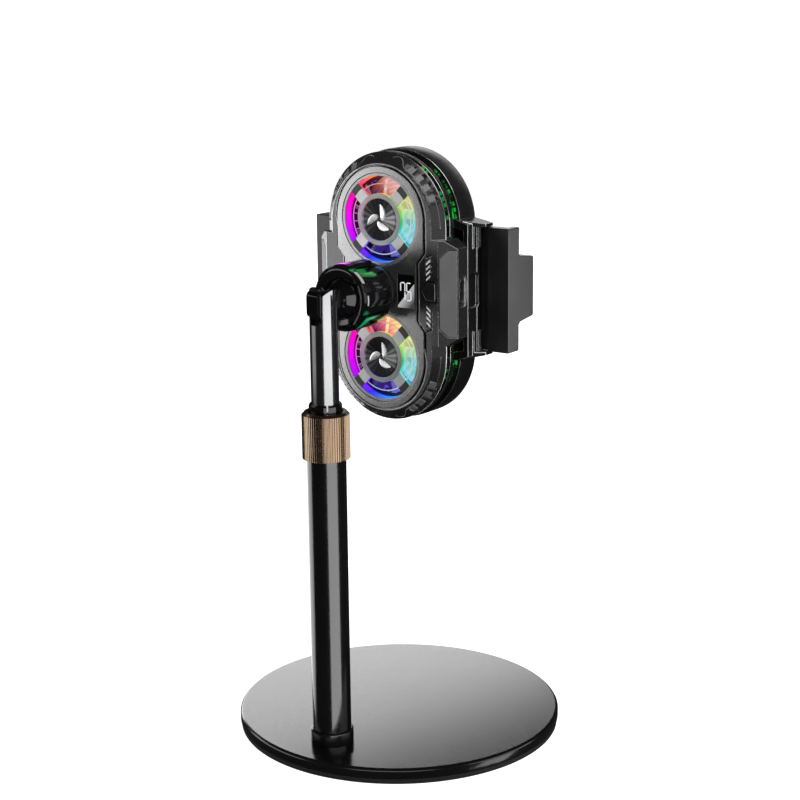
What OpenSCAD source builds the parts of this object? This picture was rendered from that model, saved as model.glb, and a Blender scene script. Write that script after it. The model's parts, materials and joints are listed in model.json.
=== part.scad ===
// Phone cooling fan on a desk stand: a two-fan cooler with sprung jaws,
// carried by a ball joint and a tilting arm on a telescopic pole.
// Millimetres. +Z is up, the fans face -Y and the phone side faces +Y.
// The origin is the centre of the base's underside.

/* [Base] */
// Diameter of the metal base disc
base_d = 125; // [110:1:140]
// Thickness of the metal base disc
base_plate_t = 4; // [3:0.1:6]
// Thickness of the rubber pad under the disc
base_pad_t = 1.9; // [1.2:0.1:3]
// Chamfer round the disc's top edge
base_rim = 0.8; // [0.4:0.1:1.2]
// Distance of the pole's axis from the disc's front edge
pole_inset = 19.3; // [14:0.1:24]

/* [Pole] */
// Outer diameter of the lower tube
outer_tube_d = 14.4; // [14:0.1:16]
// Wall of the lower tube
outer_tube_wall = 1.3; // [1:0.1:1.5]
// Length of the lower tube
outer_tube_len = 118.1; // [105:0.1:140]
// Diameter of the ring at the pole's foot
foot_ring_d = 16; // [15.6:0.1:20]
// Height of the ring at the pole's foot
foot_ring_h = 5; // [3:0.1:8]
// Outer diameter of the upper tube
inner_tube_d = 10.2; // [9.6:0.1:10.4]
// Wall of the upper tube
inner_tube_wall = 1.1; // [0.8:0.1:1.5]
// Length of the upper tube to its rounded top
inner_tube_len = 140; // [132:1:145]
// Height of the tilt pin above the lock collar, as stored
pole_extension = 39.4; // [36:0.1:55]
// Diameter of the lock collar over its ridges
collar_d = 17.5; // [17:0.1:20]
// Length of the lock collar
collar_len = 17.3; // [15:0.1:20]
// How far the collar reaches down over the lower tube
collar_overlap = 8.7; // [6:0.1:10]
// Number of ridges round the lock collar
collar_ridges = 60; // [40:2:80]
// Height of the black collet ring above the collar
collet_show = 2.9; // [2:0.1:4]

/* [Tilting arm and ball] */
// Diameter of the tilt pin
pin_d = 3; // [2.4:0.1:3.4]
// Thickness of the arm's lug in the slotted tube
lug_t = 5; // [4:0.1:5.4]
// Length of the lug across the tilt pin
lug_len = 13; // [12:0.1:13.4]
// Height of the lug
lug_h = 9.4; // [8:0.1:10]
// Distance from the tilt pin to the ball's centre
ball_reach = 15; // [14.6:0.1:18]
// Diameter of the ball
ball_d = 17; // [16:0.1:17.4]
// Diameter of the neck behind the ball
neck_d = 7.2; // [6:0.1:7.6]
// Diameter of the lock nut
nut_d = 24.6; // [24:0.1:28]
// How far the nut's front face stands before the ball's centre
nut_front = 5.8; // [5.4:0.1:6]
// How far the nut reaches behind the ball's centre
nut_rear = 10.5; // [9:0.1:12]
// Number of raised grips round the nut
nut_grips = 8; // [6:1:12]
// Thickness of the nylon liners round the ball
liner_t = 0.75; // [0.6:0.05:0.9]
// Distance from the ball's centre to the cooler's face
socket_len = 19.2; // [18.6:0.1:24]

/* [Cooler body] */
// Width of the rounded body
shell_w = 53; // [51:0.1:56]
// Height of the rounded body
shell_h = 100.4; // [98:0.1:108]
// Width over the two side walls at the waist
waist_w = 62; // [60:0.1:66]
// Total depth from the front face to the phone's back
cooler_depth = 24.5; // [24.5:0.1:28]
// Wall thickness of the shells
wall = 2; // [1.6:0.1:2.4]
// Thickness of the front face plate
face_t = 1.2; // [1:0.1:1.6]
// Width of the dark groove round the face plate
groove_w = 0.6; // [0.4:0.1:1]

/* [Fans] */
// Distance between the two fan centres
fan_spacing = 51.4; // [50:0.1:54]
// Diameter of a fan window
window_d = 34; // [32:0.1:34.6]
// Outer diameter of the silver hub ring
hub_ring_d = 19.2; // [18:0.1:20]
// Diameter of the brushed hub disc
badge_d = 15.4; // [14:0.1:15.8]
// Width of a guard spoke
spoke_w = 4.6; // [3:0.1:5.5]
// Number of blades on a rotor
blade_count = 9; // [7:1:11]
// Diameter over the blade tips
rotor_d = 28.6; // [27:0.1:29]
// Diameter of a rotor's shaft
shaft_d = 1.5; // [1.2:0.1:2]

/* [Controls] */
// Width of the five-sided button
button_w = 5.9; // [5:0.1:6.2]
// Height of the five-sided button
button_h = 6.6; // [5.6:0.1:7.2]
// Distance of the button's middle from the body's centre
button_x = 21.4; // [21:0.1:22]
// How far the button travels
button_travel = 0.6; // [0.4:0.05:0.7]
// Width of the display window
display_w = 7.2; // [6:0.1:7.4]
// Height of the display window
display_h = 12.2; // [10:0.1:13]

/* [Jaws] */
// Distance between the jaw pads, as stored
jaw_gap = 78.6; // [76:0.1:80]
// Height of a jaw
jaw_h = 46; // [43:0.1:47]
// Thickness of a jaw's sliding plate
jaw_plate_t = 2.2; // [2:0.1:2.3]
// Thickness of a jaw's upright wall
jaw_wall = 3.2; // [2.6:0.1:3.4]
// Thickness of a jaw's rubber pad
jaw_pad_t = 1.6; // [1:0.1:1.8]
// Depth of a jaw's upright wall
jaw_wall_depth = 7.5; // [6.5:0.1:9]
// Height of the hooked tab at its root
tab_h = 24.8; // [22:0.1:30]
// How much the tab narrows towards its hook
tab_taper = 3; // [0:0.1:5]
// How far the hook's outer face stands behind the jaw's wall
hook_depth = 12.4; // [10.6:0.1:14]
// Outer radius of the hook
hook_r = 3.6; // [3.6:0.1:5]

/* [Hidden] */
$fn = 72;

// Clearances
fit = 0.05;        // radial running fit of a pin, tube or thread
slip = 0.15;       // play round a piece that is set into another
slide_gap = 0.2;   // play on each side of a sliding jaw
eps = 0.1;         // overshoot of a cut

// Pole heights and radii
pole_y = pole_inset - base_d / 2;
base_top = base_pad_t + base_plate_t;
outer_r = outer_tube_d / 2;
outer_bore_r = outer_r - outer_tube_wall;
outer_top = base_top + outer_tube_len;
collar_bottom = outer_top - collar_overlap;
collar_top = collar_bottom + collar_len;
inner_r = inner_tube_d / 2;
pin_z = collar_top + pole_extension;
pin_r = pin_d / 2;
inner_top = pin_z + inner_r;
inner_bottom = inner_top - inner_tube_len;
fork_solid = 19;   // solid length at the upper tube's slotted end
lug_round = 2;     // rounding of the lug's corners
lug_swing = norm([lug_len / 2 - lug_round, lug_h / 2 - lug_round]) + lug_round;
slot_w = lug_t + 2 * slip;
plug_len = 6;
screw_r = 2;       // base screw thread
screw_head_r = 3.9;
screw_head_h = 1.8;
bush_len = 10;
collet_flange_h = 2;
collet_wall = 0.95;

// Ball joint
ball_y = pole_y + ball_reach;
ball_r = ball_d / 2;
liner_in = ball_r + fit;
liner_out = liner_in + liner_t;
cup_r = liner_out + fit;
thread_r = cup_r + 1.6;
nut_bore_r = thread_r + fit;
nut_r = nut_d / 2;
nut_mouth_r = ball_r - 1.4;
cup_rim = 2.6;     // front rim of the socket, behind the ball's centre
nut_round = 2.4;   // rounding of the nut's front shoulder
stem_r = 7.2;      // socket where it passes through the face
flange_t = 1.4;

// Depths behind the cooler's front face
face_y = ball_y + socket_len;
cap_r = shell_w / 2;
cap_off = shell_h / 2 - cap_r;
waist_x = waist_w / 2;
fan_off = fan_spacing / 2;
window_r = window_d / 2;
lip_d = face_t / 2;             // shell's front lip
floor_d = face_t;               // floor under the face plate
front_in_d = floor_d + 1.2;     // inside of the front wall
waist_in_d = front_in_d + 3.2;  // inside of the waist behind the button
bevel_run = 4.1;                // width of the bevel round the shell
bevel_end_d = lip_d + 3.8;
front_end_d = bevel_end_d + 0.4;
vent_d = front_end_d + 2.4;     // first side vent, then the vent ring
vent_ring_t = 2.2;
rear_start_d = vent_d + vent_ring_t + 3.2;
rear_r = cap_r + 0.6;           // the rear shell stands a little proud
waist_part_d = rear_start_d - 1;
parting = 0.15;
pad_t = 0.4;
rear_d = cooler_depth - pad_t;
rear_wall = 0.85;
jaw_rear_d = rear_d - rear_wall - slide_gap;
jaw_front_d = jaw_rear_d - jaw_plate_t;
frame_t = 1.6;
frame_end_d = jaw_front_d - slide_gap;
frame_d = frame_end_d - frame_t;
sink_base_t = 1.8;
sink_d = rear_start_d + 1;
sink_end_d = sink_d + sink_base_t;
fin_d = front_end_d + 2.4;
cold_start_d = frame_end_d - 0.7;
cold_flange_d = rear_d - rear_wall + eps / 2;
board_d = waist_part_d - 1.6;
board_t = 1.2;
board_peg_x = 14;
board_peg_r = 1;

// Face plate and front shell outlines
face_r = window_r + 2.4;
face_waist = 16.2;
face_waist_z = 10.6;
face_slope_z = 14.6;
bevel_in_x = 25.4;              // inner edge of the waist bevel
front_waist_z = 16.5;
front_waist_end = 19.5;
bevel_drop = 4.4;
waist_chamfer = 4;
bevel_angle = atan2(bevel_drop, waist_x - bevel_in_x);
bevel_len = norm([bevel_drop, waist_x - bevel_in_x]);
panel_t = 0.8;
panel_z = 15.8;
panel_cut = 3.2;
rear_waist_z = jaw_h / 2 + 1.4;
rear_waist_end = rear_waist_z + 1.9;
rail_z = 15.4;                  // where the guide blocks beside the jaws start

// Screw bosses between the shells
boss_r = 2.2;
boss_at = cap_r - 4.5;
boss_angles = [40, 140];
boss_bore_r = 0.85;
boss_split_d = rear_start_d;
case_screw_r = boss_bore_r - fit;
case_head_r = 1.8;
case_head_h = 1;

// Fans
hub_in_r = badge_d / 2 + slip / 2;
hub_ring_r = hub_ring_d / 2;
guard_rim = 1;
guard_end_d = face_t + 0.2;
badge_end_d = face_t - 0.4;
peg_r = 2;
rotor_hub_r = 7.2;
rotor_cup_r = 5.6;
rotor_d0 = front_in_d + 0.3;
rotor_h = 4.2;
stator_r = rotor_cup_r - 0.5;
motor_r = 6.5;
motor_d0 = rotor_d0 + rotor_h + 0.3;
rotor_cap_t = 0.7;
shaft_r = shaft_d / 2;
light_r = window_r + slip / 2;
light_in_front = window_r - 0.5;
light_in_rear = rotor_d / 2 + 0.7;
light_d0 = guard_end_d + slip;
light_len = 5.4;
flange_r = fan_off - light_r - slide_gap;   // socket's flange, between the two light rings

// Controls
display_x = face_waist - 1 - display_w / 2;
display_lens_t = 0.8;
display_mod_t = 1.4;
button_z = 0.6;
button_top_d = lip_d - 0.5;
switch_w = 3.6;
switch_h = 3;
button_end_d = board_d - switch_h - button_travel - 0.1;
usb_w = 8.9;
usb_h = 3.2;
usb_z = 0.6;
usb_gap = 0.25;
usb_recess = [4.4, 11.5];
usb_recess_r = 1.5;
usb_recess_in = 0.5;
usb_d = board_d - usb_h / 2;
usb_mouth_x = waist_x - usb_gap;
usb_len = usb_mouth_x - button_x - switch_w / 2 - usb_gap;

// Jaws
jaw_in = jaw_gap / 2;
jaw_wall_x = jaw_in + jaw_pad_t;
jaw_out = jaw_wall_x + jaw_wall;
jaw_block_x = waist_x + 4;      // the thick part outside the body
jaw_block_d = jaw_front_d - 2.2;
jaw_root = waist_x - 4;
arm_end = waist_x - 19;
arm_h = 7;
arm_z = jaw_h / 2 - 1 - arm_h / 2;
jaw_wall_end_d = jaw_block_d + jaw_wall_depth;
hook_end_d = jaw_wall_end_d + hook_depth;
hook_c_d = hook_end_d - hook_r;
hook_t = jaw_wall;
hook_lip = 3;
spring_r = 1.05;
spring_bore_r = 0.7;
post_half = 1.4;
tec_w = 30;
tec_h = 28;
cold_w = 40;
cold_h = 60;
cold_r = 10;

// Placing

// Children are drawn at the pole's axis
module at_pole(z = 0) {
    translate([0, pole_y, z]) children();
}

// Children are drawn with the cooler's front face at y = 0 and its middle at z = 0
module at_cooler() {
    translate([0, face_y, pin_z]) children();
}

// Children are drawn round the ball's centre, with local +Z along -Y
module at_ball() {
    translate([0, ball_y, pin_z]) rotate([90, 0, 0]) children();
}

// Extrudes an outline given in (x, z) from depth d0 to depth d1
module slab(d0, d1) {
    translate([0, d1, 0]) rotate([90, 0, 0]) linear_extrude(d1 - d0) children();
}

// A round bar along Y from depth d0 to depth d1
module bar_y(d0, d1, r) {
    translate([0, d1, 0]) rotate([90, 0, 0]) cylinder(h = d1 - d0, r = r);
}

// Children at both fan centres are drawn by side: 1 is the upper fan, -1 the lower
module at_fan(side) {
    at_cooler() translate([0, 0, side * fan_off]) children();
}

// Children on the right, or mirrored to the left
module on_side(side) {
    if (side > 0) children();
    else mirror([1, 0, 0]) children();
}

// Outlines

module ring_2d(r_out, r_in) {
    difference() {
        circle(r_out);
        circle(r_in);
    }
}

module capsule_2d(r, off) {
    for (s = [-1, 1]) translate([0, s * off]) circle(r);
    square([2 * r, 2 * off], center = true);
}

module rounded_2d(w, h, r) {
    square([w - 2 * r, h], center = true);
    square([w, h - 2 * r], center = true);
    for (sx = [-1, 1], sz = [-1, 1])
        translate([sx * (w / 2 - r), sz * (h / 2 - r)]) circle(r);
}

// A rectangle that starts at x0 and is centred in height
module square_at(x0, w, h) {
    translate([x0, -h / 2]) square([w, h]);
}

// A belt across the waist, full width to z0 and sloping in to x1 at z1
module belt_2d(x0, z0, x1, z1) {
    polygon([[-x0, -z0], [-x0, z0], [-x1, z1], [x1, z1],
             [x0, z0], [x0, -z0], [x1, -z1], [-x1, -z1]]);
}

// The face plate: two rounds joined by a pinched waist
module face_2d(grow) {
    r = face_r + grow;
    w = face_waist + grow;
    difference() {
        capsule_2d(r, fan_off);
        for (s = [-1, 1]) scale([s, 1])
            polygon([[w, -face_waist_z], [w, face_waist_z], [r + eps, face_slope_z],
                     [r + eps, -face_slope_z]]);
    }
}

// The five-sided button, its point towards the middle of the body
module button_2d(grow) {
    w = button_w / 2 + grow;
    h = button_h / 2 + grow;
    polygon([[-w, 0], [-w * 0.2, h], [w, h], [w, -h], [-w * 0.2, -h]]);
}

// Where the four screw bosses stand
module at_bosses() {
    for (s = [-1, 1], a = boss_angles)
        translate([boss_at * cos(a), 0, s * (cap_off + boss_at * sin(a))]) children();
}

// Base and pole

module base_plate() {
    r = base_d / 2;
    color([0.05, 0.05, 0.06]) difference() {
        rotate_extrude() polygon([[0, base_pad_t], [r, base_pad_t], [r, base_top - base_rim],
                                  [r - base_rim, base_top], [0, base_top]]);
        at_pole(base_pad_t - eps) cylinder(h = base_plate_t + 2 * eps, r = screw_r + slip);
        at_pole(base_pad_t - eps)
            cylinder(h = screw_head_h + slip + eps, r = screw_head_r + slip);
    }
}

module base_pad() {
    inset = 0.4;
    hole_gap = 2;
    color([0.03, 0.03, 0.03]) difference() {
        cylinder(h = base_pad_t, r = base_d / 2 - inset);
        at_pole(-eps) cylinder(h = base_pad_t + 2 * eps, r = screw_head_r + hole_gap);
    }
}

module base_screw() {
    head_z = base_pad_t + slip;
    tip_gap = 2;
    hex_r = 1.4;
    hex_depth = 1;
    color([0.6, 0.6, 0.62]) at_pole(head_z) difference() {
        union() {
            cylinder(h = screw_head_h, r = screw_head_r);
            cylinder(h = base_plate_t + plug_len - tip_gap, r = screw_r);
        }
        translate([0, 0, -eps]) cylinder(h = hex_depth + eps, r = hex_r, $fn = 6);
    }
}

module tube_plug() {
    color([0.5, 0.5, 0.52]) at_pole(base_top) difference() {
        cylinder(h = plug_len, r = outer_bore_r - fit);
        translate([0, 0, -eps]) cylinder(h = plug_len + 2 * eps, r = screw_r + fit);
    }
}

module foot_ring() {
    edge = 0.5;
    bore = outer_r + fit;
    r = foot_ring_d / 2;
    color([0.05, 0.05, 0.06]) at_pole(base_top) rotate_extrude()
        polygon([[bore, 0], [r, 0], [r, foot_ring_h - edge], [r - edge, foot_ring_h],
                 [bore, foot_ring_h]]);
}

module outer_tube() {
    color([0.04, 0.04, 0.045]) at_pole(base_top) linear_extrude(outer_tube_len)
        ring_2d(outer_r, outer_bore_r);
}

// Collar: a ridged gold nut over the lower tube's end, with a cone inside for the collet
module lock_collar() {
    r = collar_d / 2;
    ridge = 0.35;
    edge = 1;
    cone_gap = 0.4;
    cone_z = outer_top + collet_flange_h + cone_gap - collar_bottom;
    top_r = inner_r + collet_wall + cone_gap;
    color([0.72, 0.58, 0.42]) at_pole(collar_bottom) difference() {
        union() {
            linear_extrude(collar_len - edge) polygon([for (i = [0 : 4 * collar_ridges - 1])
                let (a = i * 90 / collar_ridges, rr = i % 4 < 2 ? r : r - ridge)
                [rr * cos(a), rr * sin(a)]]);
            translate([0, 0, collar_len - edge])
                cylinder(h = edge, r1 = r - ridge, r2 = r - edge);
        }
        translate([0, 0, -eps]) cylinder(h = cone_z + eps, r = outer_r + fit);
        translate([0, 0, cone_z - eps / 2])
            cylinder(h = collar_len - cone_z + eps, r1 = outer_r + fit, r2 = top_r);
    }
}

// Collet: a split nylon sleeve that the collar's cone squeezes on the upper tube
module collet_sleeve() {
    bore = inner_r + fit;
    sleeve_r = outer_bore_r - fit;
    show_r = inner_r + collet_wall;
    collet_r = outer_r - 0.3;
    skirt = 10;
    edge = 0.6;
    slit = 0.6;
    flange_z = outer_top + 2 * fit;
    cone_z = flange_z + collet_flange_h;
    top = collar_top + collet_show;
    color([0.03, 0.03, 0.03]) at_pole() difference() {
        rotate_extrude() polygon([
            [bore, outer_top - skirt], [sleeve_r, outer_top - skirt], [sleeve_r, flange_z],
            [collet_r, flange_z], [collet_r, cone_z], [show_r, collar_top - edge],
            [show_r, top - edge], [show_r - edge / 2, top], [bore, top]]);
        for (a = [45, 135]) rotate([0, 0, a])
            translate([-outer_r, -slit / 2, cone_z + slit])
            cube([2 * outer_r, slit, top - cone_z]);
    }
}

// Upper tube: hollow below, with a solid slotted end that carries the tilt pin
module inner_tube() {
    lug_gap = 0.4;
    slot_z = pin_z - lug_swing - lug_gap;
    color([0.1, 0.1, 0.11]) at_pole() difference() {
        intersection() {
            translate([0, 0, inner_bottom]) cylinder(h = inner_tube_len, r = inner_r);
            union() {
                translate([-inner_r, -inner_r, inner_bottom])
                    cube([inner_tube_d, inner_tube_d, pin_z - inner_bottom]);
                translate([-inner_r, 0, pin_z]) rotate([0, 90, 0])
                    cylinder(h = inner_tube_d, r = inner_r);
            }
        }
        translate([0, 0, inner_bottom - eps])
            cylinder(h = inner_tube_len - fork_solid, r = inner_r - inner_tube_wall);
        translate([-slot_w / 2, -inner_r - eps, slot_z])
            cube([slot_w, inner_tube_d + 2 * eps, inner_top]);
        translate([-inner_r - eps, 0, pin_z]) rotate([0, 90, 0])
            cylinder(h = inner_tube_d + 2 * eps, r = pin_r + fit / 2);
    }
}

module guide_bush() {
    lip = 2;
    color([0.75, 0.75, 0.7]) at_pole(inner_bottom - lip) difference() {
        cylinder(h = bush_len, r = outer_bore_r - fit);
        translate([0, 0, lip]) cylinder(h = bush_len, r = inner_r + fit / 2);
        translate([0, 0, -eps]) cylinder(h = lip + 2 * eps, r = inner_r - inner_tube_wall);
    }
}

module tilt_pin() {
    len = inner_tube_d - 2 * fit;
    color([0.7, 0.7, 0.72]) at_pole(pin_z) translate([-len / 2, 0, 0])
        rotate([0, 90, 0]) cylinder(h = len, r = pin_r);
}

// Ball joint

module ball_stud() {
    neck_sink = 0.7;
    color([0.05, 0.05, 0.055]) at_pole(pin_z) difference() {
        union() {
            translate([-lug_t / 2, 0, 0]) rotate([90, 0, 90]) linear_extrude(lug_t)
                rounded_2d(lug_len, lug_h, lug_round);
            translate([0, ball_reach, 0]) sphere(ball_r);
            bar_y(lug_len / 2 - neck_sink, ball_reach, neck_d / 2);
        }
        translate([-lug_t / 2 - eps, 0, 0]) rotate([0, 90, 0])
            cylinder(h = lug_t + 2 * eps, r = pin_r + fit);
    }
}

// A slice of a spherical liner between two angles from the axis that points at the cooler
module liner(a0, a1) {
    far = 3 * liner_out;
    color([0.8, 0.8, 0.76]) at_ball() rotate_extrude() intersection() {
        ring_2d(liner_out, liner_in);
        polygon([[0, 0], [far * sin(a0), -far * cos(a0)], [far * sin(a1), -far * cos(a1)]]);
    }
}

module ball_seat() {
    liner(0, 40);
}

module ball_ring() {
    liner(80, 112);
}

// Socket: a split cup with a thread for the nut, on a stem that passes through the face
module socket() {
    nut_gap = 2;
    stem_taper = 3.6;
    slit = 0.8;
    slit_end = ball_r - 1;
    shoulder = nut_rear + nut_gap;
    face_in = socket_len + front_in_d;
    color([0.03, 0.03, 0.035]) at_ball() difference() {
        rotate_extrude() polygon([
            [0, -cup_rim], [thread_r, -cup_rim], [thread_r, -shoulder], [stem_r, -shoulder - stem_taper],
            [stem_r, -face_in], [flange_r, -face_in], [flange_r, -face_in - flange_t],
            [0, -face_in - flange_t]]);
        sphere(cup_r);
        for (a = [0, 60, 120]) rotate([0, 0, a])
            translate([-thread_r - eps, -slit / 2, -slit_end])
            cube([2 * thread_r + 2 * eps, slit, ball_r]);
    }
}

// Nut: a cap with raised grips that screws on the socket and holds the ball in
module lock_nut() {
    rear_edge = 0.8;
    lip_t = 1.6;
    lip_h = nut_front - lip_t;
    thread_gap = 0.3;
    valley = 3.2;
    valley_r = nut_r - 0.9;
    dish_r = nut_r - nut_round;
    dish = 1;
    color([0.04, 0.04, 0.045]) at_ball() difference() {
        rotate_extrude() union() {
            polygon([[0, -nut_rear], [nut_r - rear_edge, -nut_rear],
                     [nut_r, -nut_rear + rear_edge], [nut_r, nut_front - nut_round],
                     [0, nut_front - nut_round]]);
            square([nut_r - nut_round, nut_front]);
            translate([nut_r - nut_round, nut_front - nut_round]) intersection() {
                circle(nut_round);
                square(nut_round);
            }
        }
        translate([0, 0, -nut_rear - eps])
            cylinder(h = nut_rear - cup_rim + thread_gap + eps, r = nut_bore_r);
        sphere(ball_r + 2 * fit);
        cylinder(h = nut_front + eps, r = nut_mouth_r);
        rotate_extrude() intersection() {
            circle(cup_r);
            translate([0, -cup_r]) square([cup_r, cup_r + lip_h]);
        }
        translate([0, 0, nut_front - dish])
            cylinder(h = dish + eps, r1 = nut_mouth_r, r2 = dish_r);
        for (i = [0 : nut_grips - 1]) rotate([0, 0, (i + 0.5) * 360 / nut_grips])
            translate([valley_r, -valley / 2, -nut_rear - eps])
            cube([nut_r, valley, nut_rear + nut_front]);
    }
}

// Cooler shells

// Rounded body with a bevelled front edge, between two depths
module bevelled_body(r0, r1, d0, d1, d2) {
    for (s = [-1, 1]) translate([0, 0, s * cap_off]) {
        translate([0, d1, 0]) rotate([90, 0, 0]) cylinder(h = d1 - d0, r1 = r1, r2 = r0);
        bar_y(d1, d2, r1);
    }
    translate([0, 0, -cap_off]) linear_extrude(2 * cap_off)
        polygon([[-r0, d0], [-r1, d1], [-r1, d2], [r1, d2], [r1, d1], [r0, d0]]);
}

// Children are drawn on the sloping side of the waist: local x runs down the slope,
// local y into the body
module at_bevel() {
    translate([bevel_in_x, lip_d, 0]) rotate([0, 0, bevel_angle]) children();
}

module panel_2d(grow) {
    edge = 0.5;
    z = panel_z + grow;
    x0 = edge - grow;
    polygon([[x0, -z + panel_cut], [x0, z - panel_cut], [x0 + panel_cut, z],
             [bevel_len + eps, z], [bevel_len + eps, -z], [x0 + panel_cut, -z]]);
}

// Small sloping slots above and below the button
module hatch_2d() {
    first_z = 8;
    step = 1.9;
    half_w = 1.3;
    slot_t = 0.7;
    slope = 1.1;
    for (s = [-1, 1], i = [0 : 3])
        translate([button_x, s * (first_z + step * i) - (slope + slot_t) / 2])
        polygon([[-half_w, 0], [half_w, slope], [half_w, slope + slot_t], [-half_w, slot_t]]);
}

// Short pads sunk into the bevel along the shoulders
module shoulder_notches() {
    r = cap_r - bevel_run / 2 - 0.3;
    first = 26;
    step = 10.5;
    tilt = atan2(bevel_end_d - lip_d, bevel_run);
    notch_d = (lip_d + bevel_end_d) / 2 - 0.5;
    notch = [2.6, 1.2, 2.9];
    for (s = [-1, 1], sx = [-1, 1], i = [0 : 3]) scale([sx, 1, s])
        translate([0, 0, cap_off]) rotate([0, -first - step * i, 0])
        translate([r, notch_d, 0]) rotate([0, 0, tilt]) cube(notch, center = true);
}

module front_shell() {
    in_r = cap_r - wall - 0.8;
    front_in_r = cap_r - bevel_run - 0.9;
    mid_d = bevel_end_d - 1;
    boss_floor_d = front_in_d + 1;
    color([0.12, 0.12, 0.13]) at_cooler() difference() {
        union() {
            difference() {
                union() {
                    bevelled_body(cap_r - bevel_run, cap_r, lip_d, bevel_end_d, front_end_d);
                    slab(lip_d, waist_part_d)
                        belt_2d(waist_x, front_waist_z, waist_x - waist_chamfer, front_waist_end);
                }
                for (s = [1, -1]) on_side(s) at_bevel()
                    translate([-bevel_len, -waist_x, -cap_off])
                    cube([3 * bevel_len, waist_x, 2 * cap_off]);
                slab(front_in_d, mid_d + eps) capsule_2d(front_in_r, cap_off);
                slab(mid_d, waist_part_d + eps) capsule_2d(in_r, cap_off);
                slab(waist_in_d, waist_part_d + eps)
                    square([waist_w - 2 * wall, 2 * front_waist_z - 2 * wall], center = true);
            }
            at_bosses() bar_y(front_in_d - eps, boss_split_d, boss_r);
        }
        at_bosses() bar_y(boss_floor_d, boss_split_d + eps, boss_bore_r);
        slab(-eps, floor_d) face_2d(groove_w);
        for (s = [-1, 1]) translate([0, 0, s * fan_off])
            bar_y(0, front_in_d + eps, window_r + slip);
        bar_y(0, front_in_d + eps, stem_r + fit);
        slab(0, front_in_d + eps) translate([display_x, 0])
            square([display_w + 2 * slip, display_h + 2 * slip], center = true);
        slab(0, waist_in_d + eps) translate([button_x, button_z]) button_2d(slip);
        slab(0, front_in_d + eps) hatch_2d();
        for (s = [1, -1]) on_side(s) at_bevel() slab(-eps, panel_t) panel_2d(slip);
        shoulder_notches();
        translate([waist_x - 2 * wall, usb_d, usb_z]) rotate([90, 0, 90]) linear_extrude(3 * wall)
            rounded_2d(usb_h + 2 * usb_gap, usb_w + 2 * usb_gap, usb_h / 2 + usb_gap - 0.05);
        translate([waist_x - usb_recess_in, usb_d, usb_z]) rotate([90, 0, 90])
            linear_extrude(wall) rounded_2d(usb_recess.x, usb_recess.y, usb_recess_r);
    }
}

module face_plate() {
    color([0.45, 0.45, 0.46]) at_cooler() difference() {
        slab(0, face_t) face_2d(0);
        for (s = [-1, 1]) translate([0, 0, s * fan_off]) bar_y(-eps, face_t + eps, window_r);
        bar_y(-eps, face_t + eps, stem_r + fit);
        slab(-eps, face_t + eps) translate([display_x, 0])
            square([display_w + slip, display_h + slip], center = true);
    }
}

module side_panel(side) {
    color([0.36, 0.36, 0.37]) at_cooler() on_side(side) at_bevel()
        difference() {
            slab(0, panel_t) panel_2d(0);
            translate([bevel_len - eps, -eps, -panel_z - eps])
                cube([panel_t, panel_t + 2 * eps, 2 * panel_z + 2 * eps]);
        }
}

module side_panel_right() {
    side_panel(1);
}

module side_panel_left() {
    side_panel(-1);
}

// Rear shell: the wider band behind the vents, with the jaw slots at its waist
module rear_shell() {
    in_r = cap_r - wall;
    edge = 1.2;
    belt_in = rear_waist_z - edge;
    slot_h = jaw_h + 2 * slide_gap;
    slot_depth = 8;
    recess_d = waist_part_d + 4;
    recess = [6, 12.8];
    recess_r = 1.6;
    recess_in = 1;
    ridge_d = waist_part_d + 5.8;
    ridge = [0.7, 1.2, 2 * rail_z];
    color([0.1, 0.1, 0.11]) at_cooler() difference() {
        union() {
            difference() {
                union() {
                    slab(rear_start_d, rear_d - edge) capsule_2d(rear_r, cap_off);
                    for (s = [-1, 1]) translate([0, rear_d, s * cap_off]) rotate([90, 0, 0])
                        cylinder(h = edge, r1 = rear_r - edge, r2 = rear_r);
                    slab(rear_d - edge, rear_d)
                        square([2 * (rear_r - edge), 2 * cap_off], center = true);
                    slab(waist_part_d + parting, rear_d - edge)
                        belt_2d(waist_x, rear_waist_z, cap_r - edge, rear_waist_end);
                    slab(rear_d - edge, rear_d)
                        belt_2d(waist_x - edge, rear_waist_z - edge, cap_r - edge, rear_waist_end);
                    for (s = [1, -1]) on_side(s) {
                        for (sz = [-1, 1]) rail_block(sz);
                        for (sz = [-1, 1]) scale([1, 1, sz]) ledge(rear_d - edge);
                        translate([waist_x, ridge_d + ridge.y / 2, 0]) cube(ridge, center = true);
                    }
                }
                slab(waist_part_d, rear_d - rear_wall) capsule_2d(in_r, cap_off);
                slab(waist_part_d, rear_d - rear_wall)
                    belt_2d(waist_x - wall, belt_in - wall / 2, in_r, belt_in);
            }
            at_bosses() bar_y(boss_split_d, rear_d - eps, boss_r);
        }
        at_bosses() bar_y(boss_split_d - eps, rear_d, boss_bore_r + slip);
        at_bosses() bar_y(rear_d - case_head_h - 2 * slip, rear_d + eps, case_head_r + slip);
        for (s = [1, -1]) on_side(s) {
            slab(jaw_front_d - slide_gap, jaw_rear_d + slide_gap)
                translate([waist_x - slot_depth, -slot_h / 2]) square([2 * slot_depth, slot_h]);
            translate([waist_x - recess_in, recess_d, 0]) rotate([90, 0, 90])
                linear_extrude(3 * recess_in) rounded_2d(recess.x, recess.y, recess_r);
        }
        slab(rear_d - rear_wall - eps, rear_d + eps)
            rounded_2d(cold_w + slip, cold_h + slip, cold_r);
    }
}

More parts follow.
